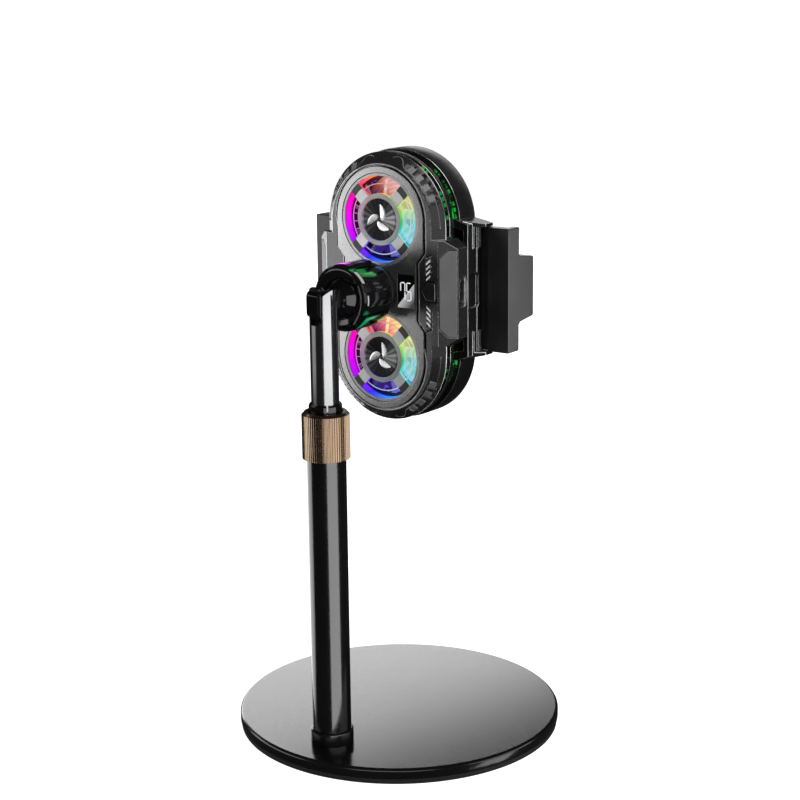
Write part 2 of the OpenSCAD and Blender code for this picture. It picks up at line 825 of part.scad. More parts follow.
// Ledge over a jaw: it flares out behind the vents to where the jaw's thick part starts
module ledge(end_d) {
    x0 = waist_x - 6;
    x1 = waist_x - 2.6;
    x2 = jaw_block_x - slide_gap;
    z = jaw_h / 2 + slide_gap;
    edge = 1.2;
    flare_d = rear_start_d + 5.4;
    intersection() {
        slab(rear_start_d, end_d)
            polygon([[x0, z], [x2, z], [x2, z + edge], [x0, rear_waist_end]]);
        linear_extrude(2 * rear_waist_end)
            polygon([[x0, rear_start_d], [x1, rear_start_d], [x2, flare_d], [x2, end_d], [x0, end_d]]);
    }
}

// Guide block beside a jaw's slot: three upright bars, the middle one with short teeth
module rail_block(sz) {
    h = 7.8;
    root = 0.5;
    rise = 0.6;
    d0 = waist_part_d + 3.3;
    bars = [[0, 1.5], [2.8, 0.6], [4.7, 0.8]];
    tooth = [root + rise, 1.1, 0.9];
    step = 1.6;
    translate([waist_x - root, d0, sz * (rail_z + h / 2)]) {
        for (b = bars) translate([0, b[0], -h / 2]) cube([root + rise, b[1], h]);
        for (i = [-2 : 2]) translate([0, bars[1][0], i * step - tooth.z / 2]) cube(tooth);
    }
}

// Vent ring: a thin band between the shells, with ears on the screw bosses
module vent_ring() {
    ear = boss_r + 1;
    leg_gap = 0.6;
    leg = cap_off - front_waist_end - leg_gap;
    ring_out = cap_r - 0.2;
    ring_in = ring_out - 2.6;
    color([0.08, 0.08, 0.085]) at_cooler() for (s = [-1, 1]) scale([1, 1, s])
        slab(vent_d, vent_d + vent_ring_t) difference() {
            union() {
                intersection() {
                    translate([0, cap_off]) ring_2d(ring_out, ring_in);
                    translate([-cap_r, cap_off]) square([2 * cap_r, cap_r]);
                }
                for (sx = [-1, 1]) scale([sx, 1]) translate([ring_in, cap_off - leg])
                    square([ring_out - ring_in, leg]);
                for (a = boss_angles)
                    translate([boss_at * cos(a), cap_off + boss_at * sin(a)]) circle(ear);
            }
            for (a = boss_angles)
                translate([boss_at * cos(a), cap_off + boss_at * sin(a)]) circle(boss_r + fit);
        }
}

module shell_screws() {
    head_d = rear_d - case_head_h - slip;
    tip_d = front_in_d + 4;
    hex_r = 0.8;
    hex_d = head_d + 0.4;
    color([0.3, 0.3, 0.31]) at_cooler() at_bosses() difference() {
        union() {
            bar_y(tip_d, head_d + eps, case_screw_r);
            bar_y(head_d, head_d + case_head_h, case_head_r);
        }
        bar_y(hex_d, head_d + case_head_h + eps, hex_r, $fn = 6);
    }
}

// Fans

// Guard: hub ring, four spokes set as a cross and a thin rim in the window
module fan_guard(side) {
    rim_r = window_r - fit;
    rim_d = 0.2;
    hub_d = -0.2;
    spoke_d = 0.1;
    sunk_r = hub_ring_r - 0.5;
    color([0.7, 0.7, 0.7]) at_fan(side) difference() {
        union() {
            slab(rim_d, guard_end_d) ring_2d(rim_r, rim_r - guard_rim);
            slab(hub_d, guard_end_d) ring_2d(hub_ring_r, hub_in_r);
            slab(spoke_d, guard_end_d) intersection() {
                for (a = [45, 135]) rotate(a) square([2 * rim_r, spoke_w], center = true);
                ring_2d(rim_r - guard_rim / 2, sunk_r);
            }
            slab(badge_end_d, guard_end_d) circle(sunk_r);
        }
        bar_y(badge_end_d - eps, guard_end_d + eps, peg_r);
    }
}

module fan_guard_upper() {
    fan_guard(1);
}

module fan_guard_lower() {
    fan_guard(-1);
}

// Hub disc: a shallow dish with a round peg into the guard
module hub_badge(side) {
    dish = 0.25;
    dish_r = 0.5;
    top_d = -0.1;
    color([0.2, 0.2, 0.21]) at_fan(side) difference() {
        union() {
            bar_y(top_d, badge_end_d, badge_d / 2);
            bar_y(badge_end_d - eps, guard_end_d, peg_r - fit);
        }
        translate([0, top_d + dish, 0]) rotate([90, 0, 0])
            cylinder(h = dish + eps, r1 = dish_r, r2 = badge_d / 2 + peg_r);
    }
}

module hub_badge_upper() {
    hub_badge(1);
}

module hub_badge_lower() {
    hub_badge(-1);
}

// Light ring: a clear tapered sleeve round the blades that the lamps shine through
module light_ring(side) {
    color([0.6, 0.4, 0.9, 0.8]) at_fan(side) rotate([90, 0, 0]) rotate_extrude()
        polygon([[light_in_front, -light_d0], [light_r, -light_d0],
                 [light_r, -light_d0 - light_len], [light_in_rear, -light_d0 - light_len]]);
}

module light_ring_upper() {
    light_ring(1);
}

module light_ring_lower() {
    light_ring(-1);
}

// Lamp plate: a clear ring with round steps on the heat sink, lit from inside
module lamp_plate(side) {
    r0 = motor_r + slip;
    r1 = light_r - 1.4;
    steps = 6;
    step = (r1 - r0) / steps;
    plate_t = 0.8;
    ridge = 0.6;
    color([0.6, 0.4, 0.9, 0.8]) at_fan(side) rotate([90, 0, 0]) rotate_extrude()
        polygon(concat(
            [[r0, -sink_d]],
            [for (i = [0 : steps - 1], j = [0, 1])
                [r0 + (i + j) * step, plate_t + ridge * (1 - j) - sink_d]],
            [[r1, -sink_d]]));
}

module lamp_plate_upper() {
    lamp_plate(1);
}

module lamp_plate_lower() {
    lamp_plate(-1);
}

// Motor: a round base on the heat sink with the stator and its bearing bore
module fan_motor(side) {
    stator_d0 = rotor_d0 + rotor_cap_t + 0.4;
    bore_end_d = sink_d - 1.4;
    coil_gap_r = 0.8;
    color([0.15, 0.15, 0.16]) at_fan(side) difference() {
        union() {
            bar_y(motor_d0, sink_d, motor_r);
            bar_y(stator_d0, motor_d0 + eps, stator_r);
        }
        bar_y(stator_d0 - eps, bore_end_d, shaft_r + fit);
        for (a = [0 : 60 : 300]) rotate([0, a, 0]) translate([stator_r, 0, 0])
            bar_y(stator_d0 - eps, motor_d0, coil_gap_r);
    }
}

module fan_motor_upper() {
    fan_motor(1);
}

module fan_motor_lower() {
    fan_motor(-1);
}

// One blade: a curved sheet set at an angle across the air stream
module blade() {
    curve = 7;
    t = 0.7;
    edge = 0.3;
    centre = [-3.6, rotor_h / 2 - 3.4];
    rotate([90, 0, 90]) linear_extrude(rotor_d) intersection() {
        translate(centre) ring_2d(curve + t / 2, curve - t / 2);
        translate([0, edge]) square([curve, rotor_h - 2 * edge]);
    }
}

// Rotor: a cup with a shaft and curved blades
module fan_rotor(side) {
    top = -rotor_d0;
    blade_root = rotor_hub_r - 1.2;
    shaft_end = sink_d - 2;
    color([0.85, 0.85, 0.9]) at_fan(side) rotate([90, 0, 0]) {
        difference() {
            union() {
                translate([0, 0, top - rotor_h]) cylinder(h = rotor_h, r = rotor_hub_r);
                for (i = [0 : blade_count - 1]) rotate([0, 0, i * 360 / blade_count])
                    intersection() {
                        translate([0, 0, top - rotor_h]) cylinder(h = rotor_h, r = rotor_d / 2);
                        translate([blade_root, 0, top - rotor_h]) blade();
                    }
            }
            translate([0, 0, top - rotor_h - eps])
                cylinder(h = rotor_h - rotor_cap_t + eps, r = rotor_cup_r);
        }
        translate([0, 0, -shaft_end])
            cylinder(h = shaft_end - rotor_d0 - rotor_cap_t / 2, r = shaft_r);
    }
}

module fan_rotor_upper() {
    fan_rotor(1);
}

module fan_rotor_lower() {
    fan_rotor(-1);
}

// Controls and electronics

module display_window() {
    color([0.02, 0.02, 0.03]) at_cooler() slab(0, display_lens_t) translate([display_x, 0])
        square([display_w, display_h], center = true);
}

module display_module() {
    color([0.1, 0.1, 0.1]) at_cooler()
        slab(display_lens_t, display_lens_t + display_mod_t) translate([display_x, 0])
        square([display_w, display_h], center = true);
}

module main_board() {
    board_w = 2 * (waist_x - wall) - 3;
    board_h = 17;
    color([0.05, 0.3, 0.12]) at_cooler() difference() {
        slab(board_d, board_d + board_t) square([board_w, board_h], center = true);
        for (s = [-1, 1]) translate([s * board_peg_x, 0, 0])
            bar_y(board_d - eps, board_d + board_t + eps, board_peg_r + slip);
    }
}

// USB socket: a flat round-ended shell with a tongue inside
module usb_socket() {
    shell = 0.35;
    back = 1;
    tongue_t = 0.7;
    tongue_w = 6.6;
    tongue_short = 1.1;
    color([0.7, 0.7, 0.72]) at_cooler() translate([usb_mouth_x - usb_len, usb_d, usb_z])
        rotate([0, 90, 0]) rotate([0, 0, 90]) {
            difference() {
                linear_extrude(usb_len) rounded_2d(usb_h, usb_w, usb_h / 2 - 0.01);
                translate([0, 0, back]) linear_extrude(usb_len)
                    rounded_2d(usb_h - 2 * shell, usb_w - 2 * shell, usb_h / 2 - shell - 0.01);
            }
            translate([-tongue_t / 2, -tongue_w / 2, back / 2])
                cube([tongue_t, tongue_w, usb_len - back / 2 - tongue_short]);
        }
}

module button_switch() {
    switch_body = switch_h - 0.8;
    color([0.2, 0.2, 0.2]) at_cooler() translate([button_x, 0, button_z]) {
        translate([-switch_w / 2, board_d - switch_body, -switch_w / 2])
            cube([switch_w, switch_body, switch_w]);
        bar_y(board_d - switch_h, board_d - switch_body + eps, switch_w / 3);
    }
}

// Button: a five-sided cap with a round stem down to the switch
module power_button() {
    cap_end = front_in_d + 0.6;
    stem_r = 1.4;
    color([0.14, 0.14, 0.15]) at_cooler() translate([button_x, 0, button_z]) {
        slab(button_top_d, cap_end) button_2d(0);
        bar_y(cap_end - eps, button_end_d, stem_r);
    }
}

// Cooling stack

// Heat sink: a base plate with fins fanned out behind each round vent
module heat_sink() {
    fin_t = 0.7;
    fin_step = 10;
    boss_gap = 8;
    r0 = window_r + 1;
    r1 = cap_r - 3.4;
    plate_r = cap_r - wall - 1.2;
    post_r = board_peg_r + 1;
    color([0.62, 0.63, 0.65]) at_cooler() difference() {
        union() {
            slab(sink_d, sink_end_d) capsule_2d(plate_r, cap_off);
            for (s = [-1, 1], a = [fin_step / 2 : fin_step : 180])
                if (min([for (b = boss_angles) abs(a - b)]) > boss_gap)
                translate([0, 0, s * cap_off]) rotate([0, -s * a, 0])
                translate([r0, fin_d, -fin_t / 2]) cube([r1 - r0, sink_d - fin_d + eps, fin_t]);
            for (s = [-1, 1]) translate([s * board_peg_x, 0, 0]) {
                bar_y(board_d + board_t, sink_d + eps, post_r);
                bar_y(board_d, sink_d, board_peg_r);
            }
        }
        at_bosses() bar_y(sink_d - eps, sink_end_d + eps, boss_r + slip);
    }
}

module thermo_module() {
    plate = 0.8;
    rim = 1;
    color([0.92, 0.92, 0.9]) at_cooler() {
        slab(sink_end_d, sink_end_d + plate) square([tec_w, tec_h], center = true);
        slab(sink_end_d + plate, cold_start_d - plate)
            square([tec_w - 2 * rim, tec_h - 2 * rim], center = true);
        slab(cold_start_d - plate, cold_start_d) square([tec_w, tec_h], center = true);
    }
}

module cold_plate() {
    color([0.75, 0.76, 0.78]) at_cooler() {
        slab(cold_start_d, cold_flange_d + eps) square([tec_w, tec_h], center = true);
        slab(cold_flange_d, rear_d) rounded_2d(cold_w, cold_h, cold_r);
    }
}

module thermal_pad() {
    inset = 1;
    color([0.35, 0.38, 0.42]) at_cooler()
        slab(rear_d, cooler_depth)
        rounded_2d(cold_w - 2 * inset, cold_h - 2 * inset, cold_r - inset);
}

// Clamps

// Inner frame: the bed that the jaws slide on, with side ribs and the spring posts
module clamp_frame() {
    rib = 1.2;
    rib_z = jaw_h / 2 + slide_gap;
    rib_x = cap_r - wall - 2.4;
    rib_foot = 1.6;
    bed_z = rear_waist_z - 2.4;
    hole = slip * 2;
    post_h = arm_h - 2;
    end_d = rear_d - rear_wall;
    color([0.16, 0.16, 0.17]) at_cooler() {
        slab(frame_d, frame_end_d) difference() {
            square([2 * (waist_x - wall - slip), 2 * bed_z], center = true);
            square([tec_w + 2 * hole, tec_h + 2 * hole], center = true);
        }
        for (s = [-1, 1]) {
            slab(frame_d, end_d) translate([-rib_x, s > 0 ? rib_z : -rib_z - rib])
                square([2 * rib_x, rib]);
            slab(frame_d, frame_end_d) translate([-rib_x, s > 0 ? rib_z - rib_foot : -rib_z])
                square([2 * rib_x, rib_foot]);
            slab(frame_end_d - eps, end_d) translate([0, s * arm_z])
                square([2 * post_half, post_h], center = true);
        }
    }
}

// Jaw: a sliding plate with two guide arms inside the body, and outside it a thick part,
// an upright wall and a hooked tab
module jaw(side) {
    z1 = tab_h / 2;
    z2 = z1 - tab_taper / 2;
    corner = 1;
    z0 = z1 + corner;
    color([0.22, 0.22, 0.23]) at_cooler() on_side(side) {
        slab(jaw_front_d, jaw_rear_d) {
            square_at(jaw_root, jaw_out - jaw_root, jaw_h);
            for (s = [-1, 1]) translate([0, s * arm_z])
                square_at(arm_end, jaw_root - arm_end + eps, arm_h);
        }
        slab(jaw_block_d, jaw_rear_d) square_at(jaw_block_x, jaw_out - jaw_block_x, jaw_h);
        slab(jaw_block_d, jaw_wall_end_d) square_at(jaw_wall_x, jaw_wall, jaw_h);
        intersection() {
            union() {
                translate([jaw_out - hook_t, jaw_block_d, -z0])
                    cube([hook_t, hook_c_d - jaw_block_d, 2 * z0]);
                translate([jaw_out - hook_r, hook_c_d, -z1]) linear_extrude(tab_h)
                    intersection() {
                        ring_2d(hook_r, hook_r - hook_t);
                        square(hook_r);
                    }
                translate([jaw_out - hook_r - hook_lip, hook_end_d - hook_t, -z1])
                    cube([hook_lip, hook_t, tab_h]);
            }
            rotate([90, 0, 90]) linear_extrude(2 * jaw_out)
                polygon([[jaw_block_d, -z0], [jaw_wall_end_d, -z0], [jaw_wall_end_d + corner, -z1],
                         [hook_end_d + eps, -z2], [hook_end_d + eps, z2],
                         [jaw_wall_end_d + corner, z1], [jaw_wall_end_d, z0], [jaw_block_d, z0]]);
        }
    }
}

module jaw_right() {
    jaw(1);
}

module jaw_left() {
    jaw(-1);
}

// Rubber pad on the inside of a jaw's wall and tab, with grip ribs
module jaw_pad(side) {
    end_gap = 1.2;
    tab_gap = 0.6;
    edge = 0.4;
    ribs = 19;
    z0 = jaw_h / 2 - end_gap;
    z1 = tab_h / 2 - tab_taper / 2 - tab_gap;
    d0 = jaw_rear_d + edge;
    d1 = jaw_wall_end_d - edge;
    base = jaw_pad_t / 2;
    rib_step = 2 * z0 / (ribs + 0.5);
    rib_h = rib_step / 2;
    color([0.05, 0.05, 0.05]) at_cooler() on_side(side) {
        translate([jaw_wall_x - base, d0, -z0]) cube([base, d1 - d0, 2 * z0]);
        for (i = [0 : ribs - 1])
            translate([jaw_in, d0 + edge, (i - (ribs - 1) / 2) * rib_step - rib_h / 2])
            cube([jaw_pad_t, d1 - d0 - 2 * edge, rib_h]);
        translate([jaw_wall_x - base, d1 - eps, -z1]) cube([base, hook_c_d - d1, 2 * z1]);
    }
}

module jaw_pad_right() {
    jaw_pad(1);
}

module jaw_pad_left() {
    jaw_pad(-1);
}

// Return springs, one on each guide arm, shown as closed sleeves inside the shell
module jaw_spring(side) {
    mid_d = (jaw_front_d + jaw_rear_d) / 2;
    x0 = post_half + eps;
    len = arm_end - eps - x0;
    color([0.7, 0.7, 0.72]) at_cooler() on_side(side) for (s = [-1, 1])
        translate([x0, mid_d, s * arm_z]) rotate([0, 90, 0]) linear_extrude(len)
        ring_2d(spring_r, spring_bore_r);
}

module jaw_spring_right() {
    jaw_spring(1);
}

module jaw_spring_left() {
    jaw_spring(-1);
}

base_plate();
base_pad();
base_screw();
tube_plug();
foot_ring();
outer_tube();
lock_collar();
collet_sleeve();
inner_tube();
guide_bush();
tilt_pin();
ball_stud();
ball_seat();
ball_ring();
lock_nut();
socket();
front_shell();
face_plate();
side_panel_right();
side_panel_left();
fan_guard_upper();
fan_guard_lower();
hub_badge_upper();
hub_badge_lower();
light_ring_upper();
light_ring_lower();
lamp_plate_upper();
lamp_plate_lower();
fan_motor_upper();
fan_motor_lower();
fan_rotor_upper();
fan_rotor_lower();
display_window();
display_module();
main_board();
usb_socket();
button_switch();
power_button();
vent_ring();
heat_sink();
thermo_module();
cold_plate();
thermal_pad();
rear_shell();
clamp_frame();
shell_screws();
jaw_right();
jaw_left();
jaw_pad_right();
jaw_pad_left();
jaw_spring_right();
jaw_spring_left();
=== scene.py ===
"""Looks of the phone cooling fan on its desk stand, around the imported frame. Metres, +Z up."""
import json
import math

import bpy
import bmesh
from mathutils import Matrix, Quaternion, Vector


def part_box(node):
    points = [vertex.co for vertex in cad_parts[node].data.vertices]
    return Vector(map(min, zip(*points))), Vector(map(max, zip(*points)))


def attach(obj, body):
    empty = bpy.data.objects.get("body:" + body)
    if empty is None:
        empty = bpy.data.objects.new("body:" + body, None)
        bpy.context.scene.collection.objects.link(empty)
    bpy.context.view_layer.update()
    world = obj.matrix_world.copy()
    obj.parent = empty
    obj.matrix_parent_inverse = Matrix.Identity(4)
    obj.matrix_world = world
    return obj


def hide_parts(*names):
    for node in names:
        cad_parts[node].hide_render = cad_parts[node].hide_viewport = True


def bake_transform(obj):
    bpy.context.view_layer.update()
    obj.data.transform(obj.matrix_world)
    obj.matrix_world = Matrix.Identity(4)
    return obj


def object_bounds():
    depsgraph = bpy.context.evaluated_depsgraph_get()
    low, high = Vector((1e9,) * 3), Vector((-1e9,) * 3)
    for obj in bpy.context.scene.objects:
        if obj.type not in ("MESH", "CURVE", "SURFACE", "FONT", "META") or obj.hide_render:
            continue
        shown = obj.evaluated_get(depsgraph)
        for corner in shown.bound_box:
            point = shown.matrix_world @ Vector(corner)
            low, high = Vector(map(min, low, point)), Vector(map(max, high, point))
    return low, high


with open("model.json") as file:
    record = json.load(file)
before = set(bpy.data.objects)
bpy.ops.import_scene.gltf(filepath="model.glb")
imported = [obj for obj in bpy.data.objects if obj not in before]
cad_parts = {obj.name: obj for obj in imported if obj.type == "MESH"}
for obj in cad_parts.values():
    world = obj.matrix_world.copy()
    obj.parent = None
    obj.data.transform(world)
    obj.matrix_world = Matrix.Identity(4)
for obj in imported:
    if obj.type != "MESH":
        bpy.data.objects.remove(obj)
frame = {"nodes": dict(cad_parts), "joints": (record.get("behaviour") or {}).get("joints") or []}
cad_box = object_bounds()
nodes = frame["nodes"]

MM = 0.001

# Places taken from the frame
FACE_LOW, FACE_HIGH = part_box("face_plate")
MID_Z = (FACE_LOW.z + FACE_HIGH.z) / 2
FACE_Y = FACE_LOW.y
JOINT_AT = {j["name"]: Vector(j.get("pos_m", (0, 0, 0))) for j in frame["joints"]}
FAN_AT = {"upper": JOINT_AT["fan_spin_upper"], "lower": JOINT_AT["fan_spin_lower"]}
SIDES = ("upper", "lower")
HANDS = ("right", "left")

# Camera, as fitted to the photograph
CAM_AT = Vector((0.3758, -0.5210, 0.2788))
CAM_AZIMUTH = math.radians(35.66)
CAM_PITCH = math.radians(13.21)
CAM_ROLL = math.radians(-0.642)
CAM_LENS = 78.27
CAM_SENSOR = 36
CAM_FAR = 100


def make_camera():
    a, p = CAM_AZIMUTH, CAM_PITCH
    forward = Vector((-math.sin(a) * math.cos(p), math.cos(a) * math.cos(p), -math.sin(p)))
    level = Vector((math.cos(a), math.sin(a), 0))
    over = level.cross(forward)
    right = math.cos(CAM_ROLL) * level + math.sin(CAM_ROLL) * over
    up = -math.sin(CAM_ROLL) * level + math.cos(CAM_ROLL) * over
    data = bpy.data.cameras.new("camera")
    data.lens = CAM_LENS
    data.sensor_width = CAM_SENSOR
    data.clip_end = CAM_FAR
    camera = bpy.data.objects.new("camera", data)
    turn = Matrix((right, up, -forward)).transposed().to_4x4()
    camera.matrix_world = Matrix.Translation(CAM_AT) @ turn
    bpy.context.scene.collection.objects.link(camera)
    bpy.context.scene.camera = camera


# Light and floor

STUDIO_FAR = 11         # distance of the wall, inside the far clip of each view
FLOOR_PAST = 5          # how far the floor runs on behind the wall
FLOOR_DROP = 0.0002     # gap between the part's underside and the floor
WALL_SIDES, WALL_LOW = 48, -1
WORLD_STRENGTH = 0.03


def area_light(name, at, aim, size, power, objects, colour=(1, 1, 1), roll=0):
    """A soft light that faces its aim, rolled about its own axis by degrees.

    It reaches only the given objects, as with flags and cutters in a studio.
    """
    data = bpy.data.lights.new(name, "AREA")
    data.shape = "RECTANGLE"
    data.size, data.size_y = size
    data.energy = power
    data.color = colour
    light = bpy.data.objects.new(name, data)
    light.visible_camera = False
    light.location = at
    toward = (Vector(aim) - Vector(at)).to_track_quat("-Z", "Y")
    light.rotation_euler = (toward @ Quaternion((0, 0, 1), math.radians(roll))).to_euler()
    bpy.context.scene.collection.objects.link(light)
    reach = bpy.data.collections.new(name + "_reach")
    for obj in objects:
        reach.objects.link(obj)
    light.light_linking.receiver_collection = reach


def make_world():
    world = bpy.data.worlds.new("studio")
    bpy.context.scene.world = world
    world.use_nodes = True
    sky = world.node_tree.nodes["Background"]
    sky.inputs["Color"].default_value = (1, 1, 1, 1)
    sky.inputs["Strength"].default_value = WORLD_STRENGTH


def white_card(name, mesh):
    """A glowing white surface that only the camera sees, so that it lights nothing."""
    card = bpy.data.objects.new(name, mesh)
    bpy.context.scene.collection.objects.link(card)
    mat = bpy.data.materials.new(name)
    mat.use_nodes = True
    shader = mat.node_tree.nodes["Principled BSDF"]
    shader.inputs["Base Color"].default_value = (0.9, 0.9, 0.9, 1)
    shader.inputs["Roughness"].default_value = 0.7
    shader.inputs["Emission Color"].default_value = (1, 1, 1, 1)
    shader.inputs["Emission Strength"].default_value = 1.0
    mesh.materials.append(mat)
    card.visible_glossy = False
    card.visible_diffuse = False
    card.visible_shadow = False
    return card


def make_floor():
    half = STUDIO_FAR + FLOOR_PAST
    mesh = bpy.data.meshes.new("floor")
    mesh.from_pydata([(-half, -half, 0), (half, -half, 0), (half, half, 0), (-half, half, 0)],
                     [], [(0, 1, 2, 3)])
    floor = white_card("floor", mesh)
    floor.location.z = cad_box[0][2] - FLOOR_DROP


def make_backdrop():
    """A wall right round the studio, as high as it is far."""
    sides = WALL_SIDES
    turns = [2 * math.pi * k / sides for k in range(sides)]
    points = [(STUDIO_FAR * math.cos(t), STUDIO_FAR * math.sin(t), z)
              for z in (WALL_LOW, STUDIO_FAR) for t in turns]
    faces = [(k, (k + 1) % sides, sides + (k + 1) % sides, sides + k) for k in range(sides)]
    mesh = bpy.data.meshes.new("backdrop")
    mesh.from_pydata(points, [], faces)
    white_card("backdrop", mesh)


# Small helpers for shader trees

def add(tree, kind, sockets=None, **settings):
    n = tree.nodes.new(kind)
    for key, value in settings.items():
        setattr(n, key, value)
    for key, value in (sockets or {}).items():
        if isinstance(value, bpy.types.NodeSocket):
            tree.links.new(value, n.inputs[key])
        else:
            n.inputs[key].default_value = value
    return n


def calc(tree, operation, a, b=0.0):
    return add(tree, "ShaderNodeMath", {0: a, 1: b}, operation=operation).outputs[0]


def ramp(tree, factor, stops):
    n = add(tree, "ShaderNodeValToRGB", {"Fac": factor})
    bar = n.color_ramp.elements
    while len(bar) < len(stops):
        bar.new(0.5)
    for element, (at, colour) in zip(bar, sorted(stops)):
        element.position = at
        element.color = (*colour, 1)
    return n.outputs["Color"]


def place(tree):
    """Object coordinates, in metres."""
    return add(tree, "ShaderNodeTexCoord").outputs["Object"]


def split(tree, vector):
    n = add(tree, "ShaderNodeSeparateXYZ", {0: vector})
    return n.outputs["X"], n.outputs["Y"], n.outputs["Z"]


def noise(tree, scale, detail=3.0):
    return add(tree, "ShaderNodeTexNoise", {"Vector": place(tree), "Scale": scale,
                                            "Detail": detail}).outputs["Fac"]


def remap(tree, value, first, last, low=0.0, high=1.0):
    """Maps a value between first and last to one between low and high."""
    return add(tree, "ShaderNodeMapRange", {"Value": value, "From Min": first, "From Max": last,
                                            "To Min": low, "To Max": high}).outputs["Result"]


NOISE_LOW, NOISE_HIGH = 0.3, 0.7       # between these lies most of a noise


def spread(tree, factor, low, high):
    """Maps a noise to values between low and high."""
    return remap(tree, factor, NOISE_LOW, NOISE_HIGH, low, high)


def grey(tree, level):
    return add(tree, "ShaderNodeCombineColor", {0: level, 1: level, 2: level}).outputs[0]


def new_material(name):
    mat = bpy.data.materials.new(name)
    mat.use_nodes = True
    return mat, mat.node_tree, mat.node_tree.nodes["Principled BSDF"]


BROAD_SCALE = 45        # of the slow change in a surface's colour
GRAIN_DEPTH = 0.00004
WELD_WITHIN = 0.000002
EDGE_ANGLE = math.radians(32)


def surface(name, colour, rough, metal=0.0, shine=0.5, ior=1.5, grain=1400, grit=0.0,
            vary=0.1, wear=0.15):
    """A principled surface whose colour, roughness and grain vary over the object."""
    mat, tree, shader = new_material(name)
    broad = noise(tree, BROAD_SCALE, 4.0)
    fine = noise(tree, grain, 2.0)
    shades = [(0.35, tuple(c * (1 - vary) for c in colour)),
              (0.65, tuple(c * (1 + vary) for c in colour))]
    tree.links.new(ramp(tree, broad, shades), shader.inputs["Base Color"])
    tree.links.new(spread(tree, fine, rough * (1 - wear), rough * (1 + wear)),
                   shader.inputs["Roughness"])
    shader.inputs["Metallic"].default_value = metal
    shader.inputs["IOR"].default_value = ior
    shader.inputs["Specular IOR Level"].default_value = shine
    if grit:
        bump = add(tree, "ShaderNodeBump",
                   {"Height": fine, "Strength": grit, "Distance": GRAIN_DEPTH})
        tree.links.new(bump.outputs["Normal"], shader.inputs["Normal"])
    return mat


def paint(mat, *names):
    for name in names:
        mesh = nodes[name].data
        mesh.materials.clear()
        mesh.materials.append(mat)


def soften(width, *names, segments=2, edge_mat=None, clamp=True):
    """Rounds a CAD node's sharp edges a little, as moulding and machining leave them."""
    for name in names:
        weld = nodes[name].modifiers.new("weld", "WELD")
        weld.merge_threshold = WELD_WITHIN
        edge = nodes[name].modifiers.new("edges", "BEVEL")
        edge.width = width * MM
        edge.segments = segments
        edge.limit_method = "ANGLE"
        edge.angle_limit = EDGE_ANGLE
        edge.use_clamp_overlap = clamp
        edge.harden_normals = True
        if edge_mat:
            nodes[name].data.materials.append(edge_mat)
            edge.material = 1


# The fans' light: colours by the angle about a fan's axis, from -180 to 180 degrees

GLOW = [(0.0, (0.62, 0.0, 0.66)), (0.1, (0.3, 0.0, 0.8)), (0.18, (0.03, 0.02, 0.85)),
        (0.28, (0.02, 0.22, 0.85)), (0.39, (0.02, 0.62, 0.62)), (0.5, (0.0, 0.55, 0.06)),
        (0.61, (0.45, 0.75, 0.02)), (0.7, (0.9, 0.55, 0.03)), (0.8, (0.95, 0.16, 0.02)),
        (0.88, (0.9, 0.0, 0.18)), (1.0, (0.62, 0.0, 0.66))]
PALE = [(0.0, (0.016, 0.0, 0.016)), (0.1, (0.016, 0.0, 0.03)), (0.15, (0.02, 0.005, 0.12)),
        (0.22, (0.04, 0.015, 0.2)), (0.3, (0.14, 0.12, 0.48)), (0.35, (0.24, 0.3, 0.74)),
        (0.4, (0.2, 0.66, 0.76)), (0.47, (0.35, 0.7, 0.6)), (0.53, (0.42, 0.72, 0.45)),
        (0.59, (0.68, 0.78, 0.3)), (0.64, (0.8, 0.66, 0.3)), (0.69, (0.8, 0.56, 0.38)),
        (0.75, (0.8, 0.46, 0.42)), (0.81, (0.68, 0.32, 0.3)), (0.86, (0.3, 0.07, 0.07)),
        (0.92, (0.03, 0.0, 0.03)), (1.0, (0.016, 0.0, 0.016))]
WARM = {0.64: (0.95, 0.9, 0.35), 0.69: (0.98, 0.9, 0.35), 0.75: (0.98, 0.8, 0.3),
        0.81: (0.95, 0.45, 0.25), 0.86: (0.7, 0.12, 0.25)}
LAMPS = {"upper": PALE, "lower": [(at, WARM.get(at, colour)) for at, colour in PALE]}
LINES = [(0.0, (0.9, 0.25, 0.8)), (0.1, (0.8, 0.2, 0.85)), (0.17, (0.45, 0.5, 0.95)),
         (0.3, (0.6, 0.75, 0.95)), (0.4, (0.6, 0.85, 0.95)), (0.5, (0.75, 0.8, 0.9)),
         (0.6, (0.85, 0.8, 0.75)), (0.7, (0.75, 0.45, 0.3)), (0.8, (0.8, 0.4, 0.25)),
         (0.9, (0.9, 0.3, 0.5)), (1.0, (0.9, 0.25, 0.8))]
LIT_BODY, LIT_ROUGH = (0.02, 0.02, 0.025, 1), 0.12
RING_FADE = (3.7, 4.5)     # depths in mm between which a light ring goes dim
RING_DIM = 0.03


def about_fan(tree, side):
    """(angle from 0 to 1, radius in mm) about a fan's axis."""
    x, _, z = split(tree, place(tree))
    z = calc(tree, "SUBTRACT", z, FAN_AT[side].z)
    turn = calc(tree, "ADD", calc(tree, "DIVIDE", calc(tree, "ARCTAN2", z, x), 2 * math.pi), 0.5)
    square = calc(tree, "ADD", calc(tree, "MULTIPLY", x, x), calc(tree, "MULTIPLY", z, z))
    return turn, calc(tree, "DIVIDE", calc(tree, "SQRT", square), MM)


def bands(tree, radius, step, low, high):
    """Concentric bands between two brightnesses."""
    wave = calc(tree, "SINE", calc(tree, "MULTIPLY", radius, 2 * math.pi / step))
    return remap(tree, wave, -1.0, 1.0, low, high)


